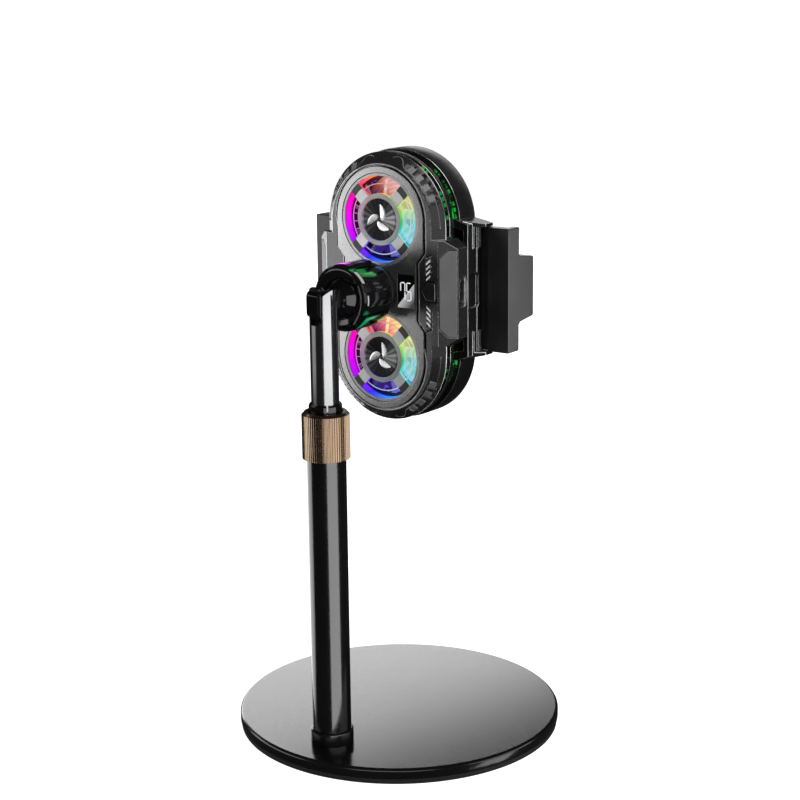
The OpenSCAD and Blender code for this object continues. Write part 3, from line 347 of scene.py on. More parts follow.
def lit_plastic(name, side, stops, strength, step=None, low=0.5):
    """Plastic lit from inside: in round bands, or without a step dimmer towards the rear."""
    mat, tree, shader = new_material(name)
    turn, radius = about_fan(tree, side)
    tree.links.new(ramp(tree, turn, stops), shader.inputs["Emission Color"])
    shader.inputs["Base Color"].default_value = LIT_BODY
    tree.links.new(spread(tree, noise(tree, 900), LIT_ROUGH * 0.7, LIT_ROUGH * 1.3),
                   shader.inputs["Roughness"])
    if step:
        level = bands(tree, radius, step, strength * low, strength)
    else:
        glow = spread(tree, noise(tree, 300), strength * 0.85, strength * 1.1)
        _, y, _ = split(tree, place(tree))
        first, last = (FACE_Y + depth * MM for depth in RING_FADE)
        level = calc(tree, "MULTIPLY", glow, remap(tree, y, first, last, 1.0, RING_DIM))
    tree.links.new(level, shader.inputs["Emission Strength"])
    return mat


def rotor_plastic_with_painted_glow(name, side):
    """Clear smoked blades with a painted glow in round bands, standing in for the light of the
    lamps round them.
    """
    mat, tree, shader = new_material(name)
    turn, radius = about_fan(tree, side)
    # Painted light: the blades glow in the lamps' colours, in round bands.
    tree.links.new(ramp(tree, turn, LAMPS[side]), shader.inputs["Emission Color"])
    tree.links.new(bands(tree, radius, 2.6, 0.8, 1.0), shader.inputs["Emission Strength"])
    shader.inputs["Base Color"].default_value = (0.03, 0.03, 0.04, 1)
    tree.links.new(spread(tree, noise(tree, 700), 0.08, 0.2), shader.inputs["Roughness"])
    clear = add(tree, "ShaderNodeBsdfTransparent", {"Color": (0.93, 0.93, 0.96, 1)})
    mix = add(tree, "ShaderNodeMixShader", {"Fac": 0.8, 1: clear.outputs[0], 2: shader.outputs[0]})
    tree.links.new(mix.outputs[0], tree.nodes["Material Output"].inputs["Surface"])
    return mat


def facing(tree):
    """1 on faces that look along -Y, 0 on the rest."""
    _, y, _ = split(tree, add(tree, "ShaderNodeTexCoord").outputs["Normal"])
    return calc(tree, "LESS_THAN", y, -0.6)


SHADED_HUB_RING_R = 9.6                    # the guard's hub ring, darkened as painted shade, ends here
SPOKE_IN_R, SPOKE_OUT_R = 13.4, 15.9     # between these the spokes are black
GLOW_WALL_R = 16.2                   # side walls within this glow with painted coloured light


def guard_metal_with_painted_light(name, side):
    """Satin silver with black spoke ends, a painted glow of coloured light on the side walls, and
    painted shade on the hub ring and rim.
    """
    mat, tree, shader = new_material(name)
    turn, radius = about_fan(tree, side)
    front = facing(tree)
    inner = calc(tree, "LESS_THAN", radius, SPOKE_IN_R)
    rim = calc(tree, "GREATER_THAN", radius, SPOKE_OUT_R)
    bright = calc(tree, "MAXIMUM", inner, rim)
    shade = spread(tree, noise(tree, 160), 0.4, 0.5)
    # Painted shade: the hub ring and the rim are made darker than the other silver.
    ring = calc(tree, "LESS_THAN", radius, SHADED_HUB_RING_R)
    shade = calc(tree, "SUBTRACT", shade, calc(tree, "ADD", calc(tree, "MULTIPLY", ring, 0.2),
                                               calc(tree, "MULTIPLY", rim, 0.1)))
    level = calc(tree, "ADD", calc(tree, "MULTIPLY", bright, shade), 0.02)
    tree.links.new(grey(tree, level), shader.inputs["Base Color"])
    tree.links.new(calc(tree, "MULTIPLY", bright, 0.8), shader.inputs["Metallic"])
    tree.links.new(spread(tree, noise(tree, 2200), 0.28, 0.4), shader.inputs["Roughness"])
    # Painted light: the side walls glow in the fans' colours, though they are no lamp.
    tree.links.new(ramp(tree, turn, GLOW), shader.inputs["Emission Color"])
    painted_glow_walls = calc(tree, "MULTIPLY", calc(tree, "SUBTRACT", 1.0, front),
                 calc(tree, "LESS_THAN", radius, GLOW_WALL_R))
    tree.links.new(calc(tree, "MULTIPLY", painted_glow_walls, 0.8), shader.inputs["Emission Strength"])
    return mat


# Greys of the painted sheen on the hub disc, a painted reflection.
PAINTED_SHEEN_GREYS = [(0.25, (0.006, 0.006, 0.007)), (0.6, (0.03, 0.03, 0.031)), (0.92, (0.2, 0.2, 0.205))]


def spun_metal_with_painted_sheen(name, side):
    """Dark metal turned on a lathe: fine rings in the roughness, and a radial sheen painted into
    the colour as a painted reflection.
    """
    mat, tree, shader = new_material(name)
    turn, radius = about_fan(tree, side)
    rings = bands(tree, radius, 0.22, 0.2, 0.34)
    tree.links.new(rings, shader.inputs["Roughness"])
    # Painted reflection: bright to the left and right, dark above and below, with fine radial
    # streaks.
    painted_bow = calc(tree, "COSINE", calc(tree, "MULTIPLY", turn, 4 * math.pi))
    painted_streaks = calc(tree, "SINE", calc(tree, "ADD", calc(tree, "MULTIPLY", turn, 38 * math.pi), 1.0))
    mixed = calc(tree, "ADD", calc(tree, "MULTIPLY", painted_bow, 0.6),
                 calc(tree, "MULTIPLY", painted_streaks, 0.22))
    sheen = calc(tree, "ADD", calc(tree, "MULTIPLY", mixed, 0.5), 0.5)
    tree.links.new(ramp(tree, sheen, PAINTED_SHEEN_GREYS), shader.inputs["Base Color"])
    shader.inputs["Metallic"].default_value = 0.9
    shader.inputs["Anisotropic"].default_value = 0.75
    tangent = add(tree, "ShaderNodeTangent", direction_type="RADIAL", axis="Y")
    tree.links.new(tangent.outputs[0], shader.inputs["Tangent"])
    return mat


def plate_paint_shaded_walls(name):
    """Metallic grey paint on the faces that look forward; the other faces are black, painted shade
    in the groove round the plate.
    """
    mat, tree, shader = new_material(name)
    front = facing(tree)
    shade = spread(tree, noise(tree, 60, 4.0), 0.31, 0.36)
    # Painted shade: faces that do not look forward are left black.
    level = calc(tree, "ADD", calc(tree, "MULTIPLY", front, shade), 0.012)
    tree.links.new(grey(tree, level), shader.inputs["Base Color"])
    tree.links.new(calc(tree, "MULTIPLY", front, 0.85), shader.inputs["Metallic"])
    fine = noise(tree, 3600, 2.0)
    tree.links.new(spread(tree, fine, 0.18, 0.26), shader.inputs["Roughness"])
    bump = add(tree, "ShaderNodeBump", {"Height": fine, "Strength": 0.12, "Distance": 0.00003})
    tree.links.new(bump.outputs["Normal"], shader.inputs["Normal"])
    return mat


VENT_HALF_W = 0.026
VENT_FROM = 0.025       # the vents begin this far above and below the middle
VENT = [(0.0, (0.6, 0.0, 0.6)), (0.35, (0.1, 0.05, 0.7)), (0.65, (0.5, 0.45, 0.02)),
        (0.8, (0.0, 0.5, 0.03)), (1.0, (0.0, 0.6, 0.05))]


def vent_colours(tree, x):
    """Colours of the side vents, from the left to the right of the body."""
    return ramp(tree, remap(tree, x, -VENT_HALF_W, VENT_HALF_W), VENT)


def sink_metal_with_painted_glow(name):
    """Aluminium fins with glowing spots near the side vents, painted light for the fans' light that
    they catch.
    """
    mat, tree, shader = new_material(name)
    x, _, z = split(tree, place(tree))
    shader.inputs["Base Color"].default_value = (0.35, 0.36, 0.37, 1)
    shader.inputs["Metallic"].default_value = 0.9
    tree.links.new(spread(tree, noise(tree, 800), 0.3, 0.5), shader.inputs["Roughness"])
    # Painted light: glowing spots on the fins near the vents.
    painted_glow_spots = calc(tree, "GREATER_THAN", noise(tree, 420, 1.0), 0.56)
    off = calc(tree, "ABSOLUTE", calc(tree, "SUBTRACT", z, MID_Z))
    painted_glow_spots = calc(tree, "MULTIPLY", painted_glow_spots, calc(tree, "GREATER_THAN", off, VENT_FROM))
    tree.links.new(calc(tree, "MULTIPLY", painted_glow_spots, 0.8), shader.inputs["Emission Strength"])
    tree.links.new(vent_colours(tree, x), shader.inputs["Emission Color"])
    return mat


def vent_glow(name):
    """Small lamps of uneven brightness."""
    mat, tree, shader = new_material(name)
    x, _, _ = split(tree, place(tree))
    tree.links.new(vent_colours(tree, x), shader.inputs["Emission Color"])
    uneven = calc(tree, "MAXIMUM", spread(tree, noise(tree, 260, 2.0), -0.5, 0.9), 0.0)
    tree.links.new(uneven, shader.inputs["Emission Strength"])
    shader.inputs["Base Color"].default_value = (0.01, 0.02, 0.01, 1)
    return mat


def digit_glow(name):
    """Lit white figures, a little uneven as lamps behind a mask are."""
    mat, tree, shader = new_material(name)
    whites = [(0.35, (0.82, 0.85, 0.9)), (0.65, (0.95, 0.97, 1.0))]
    tree.links.new(ramp(tree, noise(tree, 260), whites), shader.inputs["Emission Color"])
    tree.links.new(spread(tree, noise(tree, 900), 0.7, 0.9), shader.inputs["Emission Strength"])
    shader.inputs["Base Color"].default_value = (0.6, 0.6, 0.6, 1)
    return mat


PAINTED_SHEEN_LEAN, PAINTED_SHEEN_EDGE = 0.68, 0.94     # slope and place of the painted sheen's edge
PAINTED_SHEEN_FADE = (0.9, 1.5, 0.62, 0.06)     # from, to, and the brightness at each


def glass_with_painted_sheen(name):
    """Dark glass with a painted reflection: a pale diagonal sheen in its colour and glow over its
    lower corner.
    """
    mat, tree, shader = new_material(name)
    low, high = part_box("display_window")
    x, _, z = split(tree, place(tree))
    across = remap(tree, x, low.x, high.x)
    down = remap(tree, z, high.z, low.z)
    diagonal = calc(tree, "ADD", calc(tree, "MULTIPLY", across, PAINTED_SHEEN_LEAN), down)
    # Painted reflection: a pale sheen over the lower corner, in the colour and the glow.
    edge = calc(tree, "GREATER_THAN", diagonal, PAINTED_SHEEN_EDGE)
    sheen = calc(tree, "MULTIPLY", edge, remap(tree, diagonal, *PAINTED_SHEEN_FADE))
    level = calc(tree, "ADD", sheen, 0.006)
    tree.links.new(grey(tree, level), shader.inputs["Base Color"])
    tree.links.new(spread(tree, noise(tree, 500), 0.04, 0.1), shader.inputs["Roughness"])
    shader.inputs["Emission Color"].default_value = (0.9, 0.9, 0.92, 1)
    tree.links.new(calc(tree, "MULTIPLY", sheen, 0.7), shader.inputs["Emission Strength"])
    return mat


# Pieces that only the looks need

def add_piece(name, build, mat, body, smooth=False):
    mesh = bpy.data.meshes.new(name)
    bm = bmesh.new()
    build(bm)
    bmesh.ops.recalc_face_normals(bm, faces=bm.faces)
    for face in bm.faces:
        face.smooth = smooth
    bm.to_mesh(mesh)
    bm.free()
    obj = bpy.data.objects.new(name, mesh)
    bpy.context.scene.collection.objects.link(obj)
    mesh.materials.append(mat)
    if body:
        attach(obj, body)
    return obj


def at_cooler(x, depth, z):
    """A point given in mm across, behind the front face, and above the body's middle."""
    return Vector((x * MM, FACE_Y + depth * MM, MID_Z + z * MM))


def closed_sheet(bm, top, bottom, columns):
    """A thin closed plate from two grids of points, listed row by row."""
    upper = [bm.verts.new(p) for p in top]
    lower = [bm.verts.new(p) for p in bottom]
    rows = len(upper) // columns
    for r in range(rows - 1):
        for c in range(columns - 1):
            i = r * columns + c
            bm.faces.new((upper[i], upper[i + 1], upper[i + columns + 1], upper[i + columns]))
            bm.faces.new((lower[i + columns], lower[i + columns + 1], lower[i + 1], lower[i]))
    rim = list(range(columns)) + [r * columns + columns - 1 for r in range(1, rows)]
    rim += [(rows - 1) * columns + c for c in range(columns - 2, -1, -1)]
    rim += [r * columns for r in range(rows - 2, 0, -1)]
    for i, j in zip(rim, rim[1:] + rim[:1]):
        bm.faces.new((upper[j], upper[i], lower[i], lower[j]))


def prism(bm, outline, depth0, depth1):
    """A plate from an outline of (x, z) points in mm, between two depths."""
    front = [bm.verts.new(at_cooler(x, depth0, z)) for x, z in outline]
    back = [bm.verts.new(at_cooler(x, depth1, z)) for x, z in outline]
    bm.faces.new(front)
    bm.faces.new(back[::-1])
    for i in range(len(outline)):
        j = (i + 1) % len(outline)
        bm.faces.new((front[j], front[i], back[i], back[j]))


DISH_CENTRE = 0.15     # depth of the hub disc's middle
DISH_SLOPE = 0.038     # how fast it rises towards its edge
MARK_BLADES, MARK_ROWS = 3, 14
MARK_RISE, MARK_SUNK = 0.14, 0.05
MARK_FROM, MARK_LEN, MARK_HALF = 0.9, 4.7, 1.55     # root's radius, length, half width
MARK_START, MARK_SWEEP = 20, 62                     # degrees


def fan_mark(side):
    """A plain three-blade fan mark on the hub disc."""
    lift = (FAN_AT[side].z - MID_Z) / MM

    def build(bm):
        for k in range(MARK_BLADES):
            top, bottom = [], []
            for i in range(MARK_ROWS):
                u = i / (MARK_ROWS - 1)
                r = MARK_FROM + MARK_LEN * u
                middle = math.radians(360 / MARK_BLADES * k + MARK_START + MARK_SWEEP * u ** 0.8)
                half = MARK_HALF * math.sin(math.pi * (0.1 + 0.86 * u)) ** 0.8 / r
                for side_angle in (-half, -half * 0.4, half * 0.4, half):
                    x = r * math.cos(middle + side_angle)
                    z = lift + r * math.sin(middle + side_angle)
                    depth = DISH_CENTRE - DISH_SLOPE * r
                    crown = MARK_RISE * (1 if abs(side_angle) < half * 0.9 else 0.55)
                    top.append(at_cooler(x, depth - crown, z))
                    bottom.append(at_cooler(x, depth + MARK_SUNK, z))
            closed_sheet(bm, top, bottom, 4)
    return build


SEGMENTS = {"7": "abcf", "5": "afgcd"}
DIGIT_W, DIGIT_H, BAR_W, DIGIT_GAP = 1.9, 6.4, 0.42, 0.8
DIGIT_FRONT, DIGIT_BACK = -0.05, 0.02   # depths
BAR_GAP = 0.07


def digits(text):
    """Seven-segment numbers in the display."""
    low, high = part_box("display_window")
    middle = (low.x + high.x) / 2 / MM
    start = middle - (len(text) * DIGIT_W + (len(text) - 1) * DIGIT_GAP) / 2

    def bar(bm, x0, z0, x1, z1):
        half = BAR_W / 2
        if x0 == x1:
            outline = [(x0, z0), (x0 + half, z0 + half), (x0 + half, z1 - half),
                       (x1, z1), (x0 - half, z1 - half), (x0 - half, z0 + half)]
        else:
            outline = [(x0, z0), (x0 + half, z0 - half), (x1 - half, z0 - half),
                       (x1, z1), (x1 - half, z0 + half), (x0 + half, z0 + half)]
        prism(bm, outline, DIGIT_FRONT, DIGIT_BACK)

    def build(bm):
        for i, sign in enumerate(text):
            x0 = start + i * (DIGIT_W + DIGIT_GAP)
            x1, top, mid = x0 + DIGIT_W, DIGIT_H / 2, 0
            gap = BAR_GAP
            places = {"a": (x0 + gap, top, x1 - gap, top), "g": (x0 + gap, mid, x1 - gap, mid),
                      "d": (x0 + gap, -top, x1 - gap, -top), "f": (x0, mid + gap, x0, top - gap),
                      "b": (x1, mid + gap, x1, top - gap), "e": (x0, -top + gap, x0, mid - gap),
                      "c": (x1, -top + gap, x1, mid - gap)}
            for letter in SEGMENTS[sign]:
                bar(bm, *places[letter])
    return build


def tube_along(bm, points, radius, around=8, loop=False, across=(0, 1, 0)):
    """A round bead along a path, with ends or round in a loop."""
    rings = []
    count = len(points)
    for i, p in enumerate(points):
        if loop:
            ahead = (points[(i + 1) % count] - points[i - 1]).normalized()
        else:
            ahead = (points[min(i + 1, count - 1)] - points[max(i - 1, 0)]).normalized()
        side = ahead.cross(Vector(across)).normalized()
        over = side.cross(ahead)
        rings.append([bm.verts.new(p + radius * (math.cos(t) * side + math.sin(t) * over))
                      for t in (2 * math.pi * k / around for k in range(around))])
    for a, b in zip(rings, rings[1:] + rings[:1] if loop else rings[1:]):
        for k in range(around):
            bm.faces.new((a[k], a[(k + 1) % around], b[(k + 1) % around], b[k]))
    if not loop:
        bm.faces.new(rings[0][::-1])
        bm.faces.new(rings[-1])


SHELL_LOW, SHELL_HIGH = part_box("front_shell")
CAP_R = 26.5
CAP_OFF = (SHELL_HIGH.z - SHELL_LOW.z) / 2 / MM - CAP_R
BEVEL_RUN, BEVEL_DROP, LIP = 4.1, 3.8, 0.6


def on_bevel(r, angle, sx, sz, sunk=0.0):
    """A point on the front shell's bevel, by its radius and angle about the rounded end."""
    slope = math.atan2(BEVEL_DROP, BEVEL_RUN)
    depth = LIP + BEVEL_DROP * (r - CAP_R + BEVEL_RUN) / BEVEL_RUN + sunk * math.cos(slope)
    r -= sunk * math.sin(slope)
    x = r * math.cos(math.radians(angle))
    z = CAP_OFF + r * math.sin(math.radians(angle))
    return at_cooler(sx * x, depth, sz * z)


# Radius in mm and angle in degrees of the lines on the bevel
BESIDE = [(24.9, a) for a in range(0, 23, 2)]
DOT = [(24.9, a) for a in (-0.6, 0, 0.6, 1.2)]
WINDING = [(23.3, a) for a in range(24, 63, 3)]
WINDING += [(23.5, 65), (24.2, 67.5), (25.0, 69.5), (25.6, 72), (25.7, 75), (25.4, 78), (24.9, 80)]


def bevel_lines(bm):
    """Fine lines on the bevel, grey as a painted highlight: one beside each shoulder with a dot,
    one winding over it.
    """
    for sx in (1, -1):
        for sz in (1, -1):
            for path, bead in ((BESIDE, 0.14), (DOT, 0.34), (WINDING, 0.15)):
                tube_along(bm, [on_bevel(r, a, sx, sz) for r, a in path], bead * MM)


INLAY_AT = CAP_R - BEVEL_RUN / 2 - 0.3
INLAY_COUNT, INLAY_FIRST, INLAY_STEP = 4, 26, 10.5
INLAY_ROWS = (-1.0, -0.85, 0.85, 1.0)       # mm across the bevel
INLAY_TURNS = (-2.8, -2.45, 2.45, 2.8)      # degrees along it
INLAY_PROUD, INLAY_ROUND, INLAY_DEEP = 0.12, 0.14, 0.55


def shoulder_inlays(bm):
    """Grey pads let into the notches along the shoulders."""
    for sx in (1, -1):
        for sz in (1, -1):
            for i in range(INLAY_COUNT):
                top, bottom = [], []
                for r in INLAY_ROWS:
                    for turn in INLAY_TURNS:
                        outer = r in INLAY_ROWS[::3] or turn in INLAY_TURNS[::3]
                        edge = INLAY_ROUND if outer else 0.0
                        angle = INLAY_FIRST + INLAY_STEP * i + turn
                        top.append(on_bevel(INLAY_AT + r, angle, sx, sz, edge - INLAY_PROUD))
                        bottom.append(on_bevel(INLAY_AT + r, angle, sx, sz, INLAY_DEEP))
                closed_sheet(bm, top, bottom, len(INLAY_TURNS))


FACE_R = FACE_HIGH.x / MM
FACE_OFF = (FACE_HIGH.z - MID_Z) / MM - FACE_R
WAIST, WAIST_Z, SLOPE_Z, STRAIGHT_Z = 16.2, 10.6, 14.6, 20
ARC_STEPS = 48
LIP_OUT, LIP_SUNK, LIP_BEAD = 0.85, 0.08, 0.28


def face_outline(grow):
    """(x, z) points round the face plate's outline, grown by a distance in mm."""
    r, w = FACE_R + grow, WAIST + grow
    right = [(w, -WAIST_Z), (w, 0), (w, WAIST_Z), (r, SLOPE_Z), (r, STRAIGHT_Z)]
    turns = [math.pi * k / ARC_STEPS for k in range(ARC_STEPS + 1)]
    upper = [(r * math.cos(t), FACE_OFF + r * math.sin(t)) for t in turns]
    left = [(-x, -z) for x, z in right]
    return right + upper + left + [(-x, -z) for x, z in upper]


def lip_line(bm):
    """The rounded inner lip of the shell along the groove round the face plate, silver as a painted
    highlight.
    """
    path = [at_cooler(x, LIP + LIP_SUNK, z) for x, z in face_outline(LIP_OUT)]
    tube_along(bm, path, LIP_BEAD * MM, loop=True)


HATCH_X, HATCH_FIRST, HATCH_STEP, HATCH_COUNT = 21.2, 5.7, 1.9, 4
HATCH_BAR = (0.85, 1.5, 0.8)       # half width, slope and thickness
HATCH_FLOOR = (1.3, 4.6, 15.4)     # half width, then from and to above the middle


def hatch_bars(bm):
    """Sloping bars between the slots above and below the button, white as painted glints."""
    half, slope, thick = HATCH_BAR
    for s in (1, -1):
        for i in range(HATCH_COUNT):
            z = HATCH_FIRST + HATCH_STEP * i - (slope + thick) / 2
            corners = [(-half, z), (half, z + slope), (half, z + slope + thick), (-half, z + thick)]
            prism(bm, [(HATCH_X + x, s * z) for x, z in corners], LIP - 0.14, LIP + 0.1)


def hatch_floor(bm):
    """Black floors behind the slots, painted shade inside them."""
    half, first, last = HATCH_FLOOR
    for s in (1, -1):
        corners = [(-half, first), (half, first), (half, last), (-half, last)]
        prism(bm, [(HATCH_X + x, s * z) for x, z in corners], LIP + 0.6, LIP + 1.0)


VENT_LOW, VENT_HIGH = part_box("vent_ring")
RING_D = (VENT_LOW.y - FACE_Y) / MM             # front of the vent ring
REAR_D = (VENT_HIGH.y - FACE_Y) / MM + 3.2      # front edge of the rear shell
LAMP_R, LAMP_W, LAMP_T = 25.2, 0.7, 0.25
LAMP_FIRST, LAMP_STEP, LAMP_LEN = 1, 5.2, 3.4      # degrees
LAMPS_UP, LAMPS_DOWN = 11, 4


def vent_lamps(bm):
    """Rows of small lamps in the side vents, on the vent ring and on the rear shell's edge."""
    for depth in (RING_D, REAR_D):
        for sx in (1, -1):
            for sz in (1, -1):
                for k in range(LAMPS_UP if sz > 0 else LAMPS_DOWN):
                    turns = [math.radians(LAMP_FIRST + LAMP_STEP * k + LAMP_LEN * u)
                             for u in (0, 0.5, 1)]
                    arc = [(LAMP_R, t) for t in turns]
                    arc += [(LAMP_R + LAMP_W, t) for t in turns[::-1]]
                    outline = [(sx * r * math.cos(t), sz * (CAP_OFF + r * math.sin(t)))
                               for r, t in arc]
                    prism(bm, outline, depth - LAMP_T, depth + 0.05)


BUTTON_LOW, BUTTON_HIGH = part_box("power_button")
RIM_OUT, RIM_SUNK, RIM_BEAD = 0.45, 0.02, 0.2


def button_rim(bm):
    """A raised black rim round the five-sided button, painted shade standing in for the shaded gap
    round it.
    """
    x = (BUTTON_LOW.x + BUTTON_HIGH.x) / 2 / MM
    z = ((BUTTON_LOW.z + BUTTON_HIGH.z) / 2 - MID_Z) / MM
    w = (BUTTON_HIGH.x - BUTTON_LOW.x) / 2 / MM + RIM_OUT
    h = (BUTTON_HIGH.z - BUTTON_LOW.z) / 2 / MM + RIM_OUT
    corners = [(-w, 0), (-w * 0.2, h), (w, h), (w, -h), (-w * 0.2, -h)]
    path = []
    for (x0, z0), (x1, z1) in zip(corners, corners[1:] + corners[:1]):
        path += [(x + x0 + (x1 - x0) * u, z + z0 + (z1 - z0) * u) for u in (0.06, 0.5, 0.94)]
    tube_along(bm, [at_cooler(a, LIP + RIM_SUNK, b) for a, b in path], RIM_BEAD * MM, loop=True)


LINES_D = 1.62                              # depth of the glowing lines, which are painted light
LINE_RING_R, LINE_ARC_R, LINE_BAR_R = 13.0, 10.9, 9.3
LINE_RING, LINE_ARC, LINE_BAR = 0.2, 0.12, 0.13     # their half thickness


def light_lines(side):
    """A fine ring behind the spokes, with a grille of short bars on its left; both glow as painted
    light.
    """
    lift = (FAN_AT[side].z - MID_Z) / MM

    def build(bm):
        def at(r, turn):
            return at_cooler(r * math.cos(turn), LINES_D, lift + r * math.sin(turn))
        ring = [at(LINE_RING_R, 2 * math.pi * k / 72) for k in range(72)]
        tube_along(bm, ring, LINE_RING * MM, loop=True)
        arc = [at(LINE_ARC_R, math.radians(a)) for a in range(138, 223, 4)]
        tube_along(bm, arc, LINE_ARC * MM)
        for k in range(-3, 3):
            turn = math.pi + math.radians(14 * k + 7)
            bar = [at(LINE_BAR_R, turn), at(11, turn), at(LINE_RING_R, turn)]
            tube_along(bm, bar, LINE_BAR * MM)
    return build


COIL_TURNS, COIL_STEPS, COIL_WIRE = 12, 20, 0.16 * MM
COIL_CLEAR = 0.05 * MM
COIL_CLOSED = 0.1      # share of the length that is closed turns, at each end


def coil_springs(hand):
    """Two coil springs, each from a post on the frame to one of a jaw's guide arms."""
    low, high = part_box("jaw_spring_" + hand)
    radius = (high.y - low.y) / 2
    middle = (low.y + high.y) / 2
    first = low.x + COIL_WIRE + COIL_CLEAR
    length = high.x - low.x - 2 * (COIL_WIRE + COIL_CLEAR)

    def build(bm):
        for z in (low.z + radius, high.z - radius):
            points = []
            for k in range(COIL_TURNS * COIL_STEPS + 1):
                t = 2 * math.pi * k / COIL_STEPS
                along = k / (COIL_TURNS * COIL_STEPS)
                along = along - COIL_CLOSED * math.sin(2 * math.pi * along) / 2
                points.append(Vector((first + length * along,
                                      middle + (radius - COIL_WIRE) * math.cos(t),
                                      z + (radius - COIL_WIRE) * math.sin(t))))
            tube_along(bm, points, COIL_WIRE, around=6, across=(1, 0, 0))
    return build


# Studio

make_camera()
make_world()
make_floor()
make_backdrop()

# Surfaces

base_metal = surface("base_metal", (0.008, 0.008, 0.009), 0.17, ior=1.6, grain=900, vary=0.2)
rubber = surface("rubber", (0.018, 0.018, 0.018), 0.75, grain=2500, grit=0.35)
steel = surface("steel", (0.55, 0.55, 0.57), 0.3, metal=1.0)
pole_black = surface("pole_black", (0.004, 0.004, 0.005), 0.17, ior=1.75, grain=600, vary=0.2)
black_chrome = surface("black_chrome", (0.3, 0.3, 0.305), 0.17, metal=1.0, grain=900)
gold = surface("gold", (0.3, 0.22, 0.15), 0.24, metal=1.0, grain=1800)
black_plastic = surface("black_plastic", (0.012, 0.012, 0.013), 0.35, grain=2200, grit=0.15)
gloss_black = surface("gloss_black", (0.004, 0.004, 0.005), 0.06, ior=1.55, grain=500, vary=0.2)
nut_black = surface("nut_black", (0.003, 0.003, 0.004), 0.08, ior=2.0, grain=500, vary=0.2)
nylon = surface("nylon", (0.6, 0.6, 0.55), 0.5)
shell_paint = surface("shell_paint", (0.115, 0.115, 0.118), 0.26, metal=0.72, shine=0.3, grain=4200,
                      grit=0.06, vary=0.05, wear=0.08)
# Painted highlight: a brighter metal than the shell, for rounded edges to show as light lines.
shell_edge_highlight = surface("shell_edge_highlight", (0.55, 0.55, 0.555), 0.25, metal=0.9, grain=2200)
rear_paint = surface("rear_paint", (0.012, 0.012, 0.013), 0.34, shine=0.25, grain=2600, grit=0.1,
                     vary=0.15)
panel_paint = surface("panel_paint", (0.26, 0.26, 0.263), 0.42, metal=0.15, shine=0.3, grain=3000,
                      grit=0.1)
jaw_paint = surface("jaw_paint", (0.06, 0.06, 0.062), 0.38, metal=0.6, grain=2600, grit=0.15)
mark_silver = surface("mark_silver", (0.75, 0.75, 0.76), 0.3, metal=0.8)
# Painted highlight: white for the glints on the hatch bars.
bar_glint_white = surface("bar_glint_white", (0.92, 0.92, 0.93), 0.4)
# Painted highlight: grey for the fine lines on the dark bevel.
line_highlight_grey = surface("line_highlight_grey", (0.3, 0.3, 0.303), 0.3, metal=0.5)
inlay_grey = surface("inlay_grey", (0.28, 0.28, 0.283), 0.36, metal=0.3, grain=2400)
# Painted highlight: silver for the shell's lip along the groove.
lip_highlight_silver = surface("lip_highlight_silver", (0.62, 0.62, 0.63), 0.42, metal=0.7, grain=2400)
board_green = surface("board", (0.02, 0.14, 0.06), 0.4)
ceramic = surface("ceramic", (0.75, 0.75, 0.72), 0.5)
aluminium = surface("aluminium", (0.62, 0.63, 0.65), 0.34, metal=1.0)
silicone = surface("silicone", (0.16, 0.18, 0.2), 0.55, grain=1800, grit=0.2)
# Painted shade: black for the floors behind the hatch slots and the rim round the button.
painted_shade_black = surface("painted_shade_black", (0.006, 0.006, 0.006), 0.2, ior=1.6, vary=0.2)

paint(base_metal, "base_plate", "foot_ring")
paint(rubber, "base_pad", "jaw_pad_right", "jaw_pad_left")
paint(steel, "base_screw", "tube_plug", "usb_socket", "shell_screws",
      "jaw_spring_right", "jaw_spring_left")
paint(pole_black, "outer_tube")
paint(black_chrome, "inner_tube", "tilt_pin")
paint(gold, "lock_collar")
paint(black_plastic, "socket", "display_module", "button_switch", "clamp_frame")
paint(gloss_black, "ball_stud", "collet_sleeve")
paint(nut_black, "lock_nut")
paint(nylon, "guide_bush", "ball_seat", "ball_ring")
paint(shell_paint, "front_shell", "power_button")
paint(rear_paint, "rear_shell", "vent_ring")
paint(panel_paint, "side_panel_right", "side_panel_left")
paint(jaw_paint, "jaw_right", "jaw_left")
paint(plate_paint_shaded_walls("face_paint_shaded_walls"), "face_plate")
paint(board_green, "main_board")
paint(ceramic, "thermo_module")
paint(aluminium, "cold_plate")
paint(silicone, "thermal_pad")
paint(sink_metal_with_painted_glow("sink_metal_with_painted_glow"), "heat_sink")
paint(glass_with_painted_sheen("glass_with_painted_sheen"), "display_window")
for side in SIDES:
    paint(guard_metal_with_painted_light("guard_" + side, side), "fan_guard_" + side)
    paint(spun_metal_with_painted_sheen("hub_" + side, side), "hub_badge_" + side)
    paint(lit_plastic("glow_" + side, side, GLOW, 1.6), "light_ring_" + side)
    paint(lit_plastic("lamp_" + side, side, LAMPS[side], 1.1, step=1.53, low=0.8),
          "lamp_plate_" + side)
    paint(rotor_plastic_with_painted_glow("blades_" + side, side), "fan_rotor_" + side)
    # Painted light: the fan motor is no lamp, yet it glows in the lamps' colours, in round bands.
    paint(lit_plastic("motor_" + side, side, LAMPS[side], 0.6, step=2.1, low=0.7),
          "fan_motor_" + side)

soften(0.2, "face_plate")
# The rounded edges of the shells and the button take the brighter edge metal, a painted highlight.
soften(0.2, "front_shell", "rear_shell", "vent_ring", "power_button", edge_mat=shell_edge_highlight,
       clamp=False)
soften(0.2, "side_panel_right", "side_panel_left", "fan_guard_upper", "fan_guard_lower")
soften(0.5, "jaw_right", "jaw_left", segments=3)
soften(0.45, "lock_nut", "ball_stud", segments=3)
soften(0.3, "base_plate", "foot_ring", "inner_tube", segments=3)

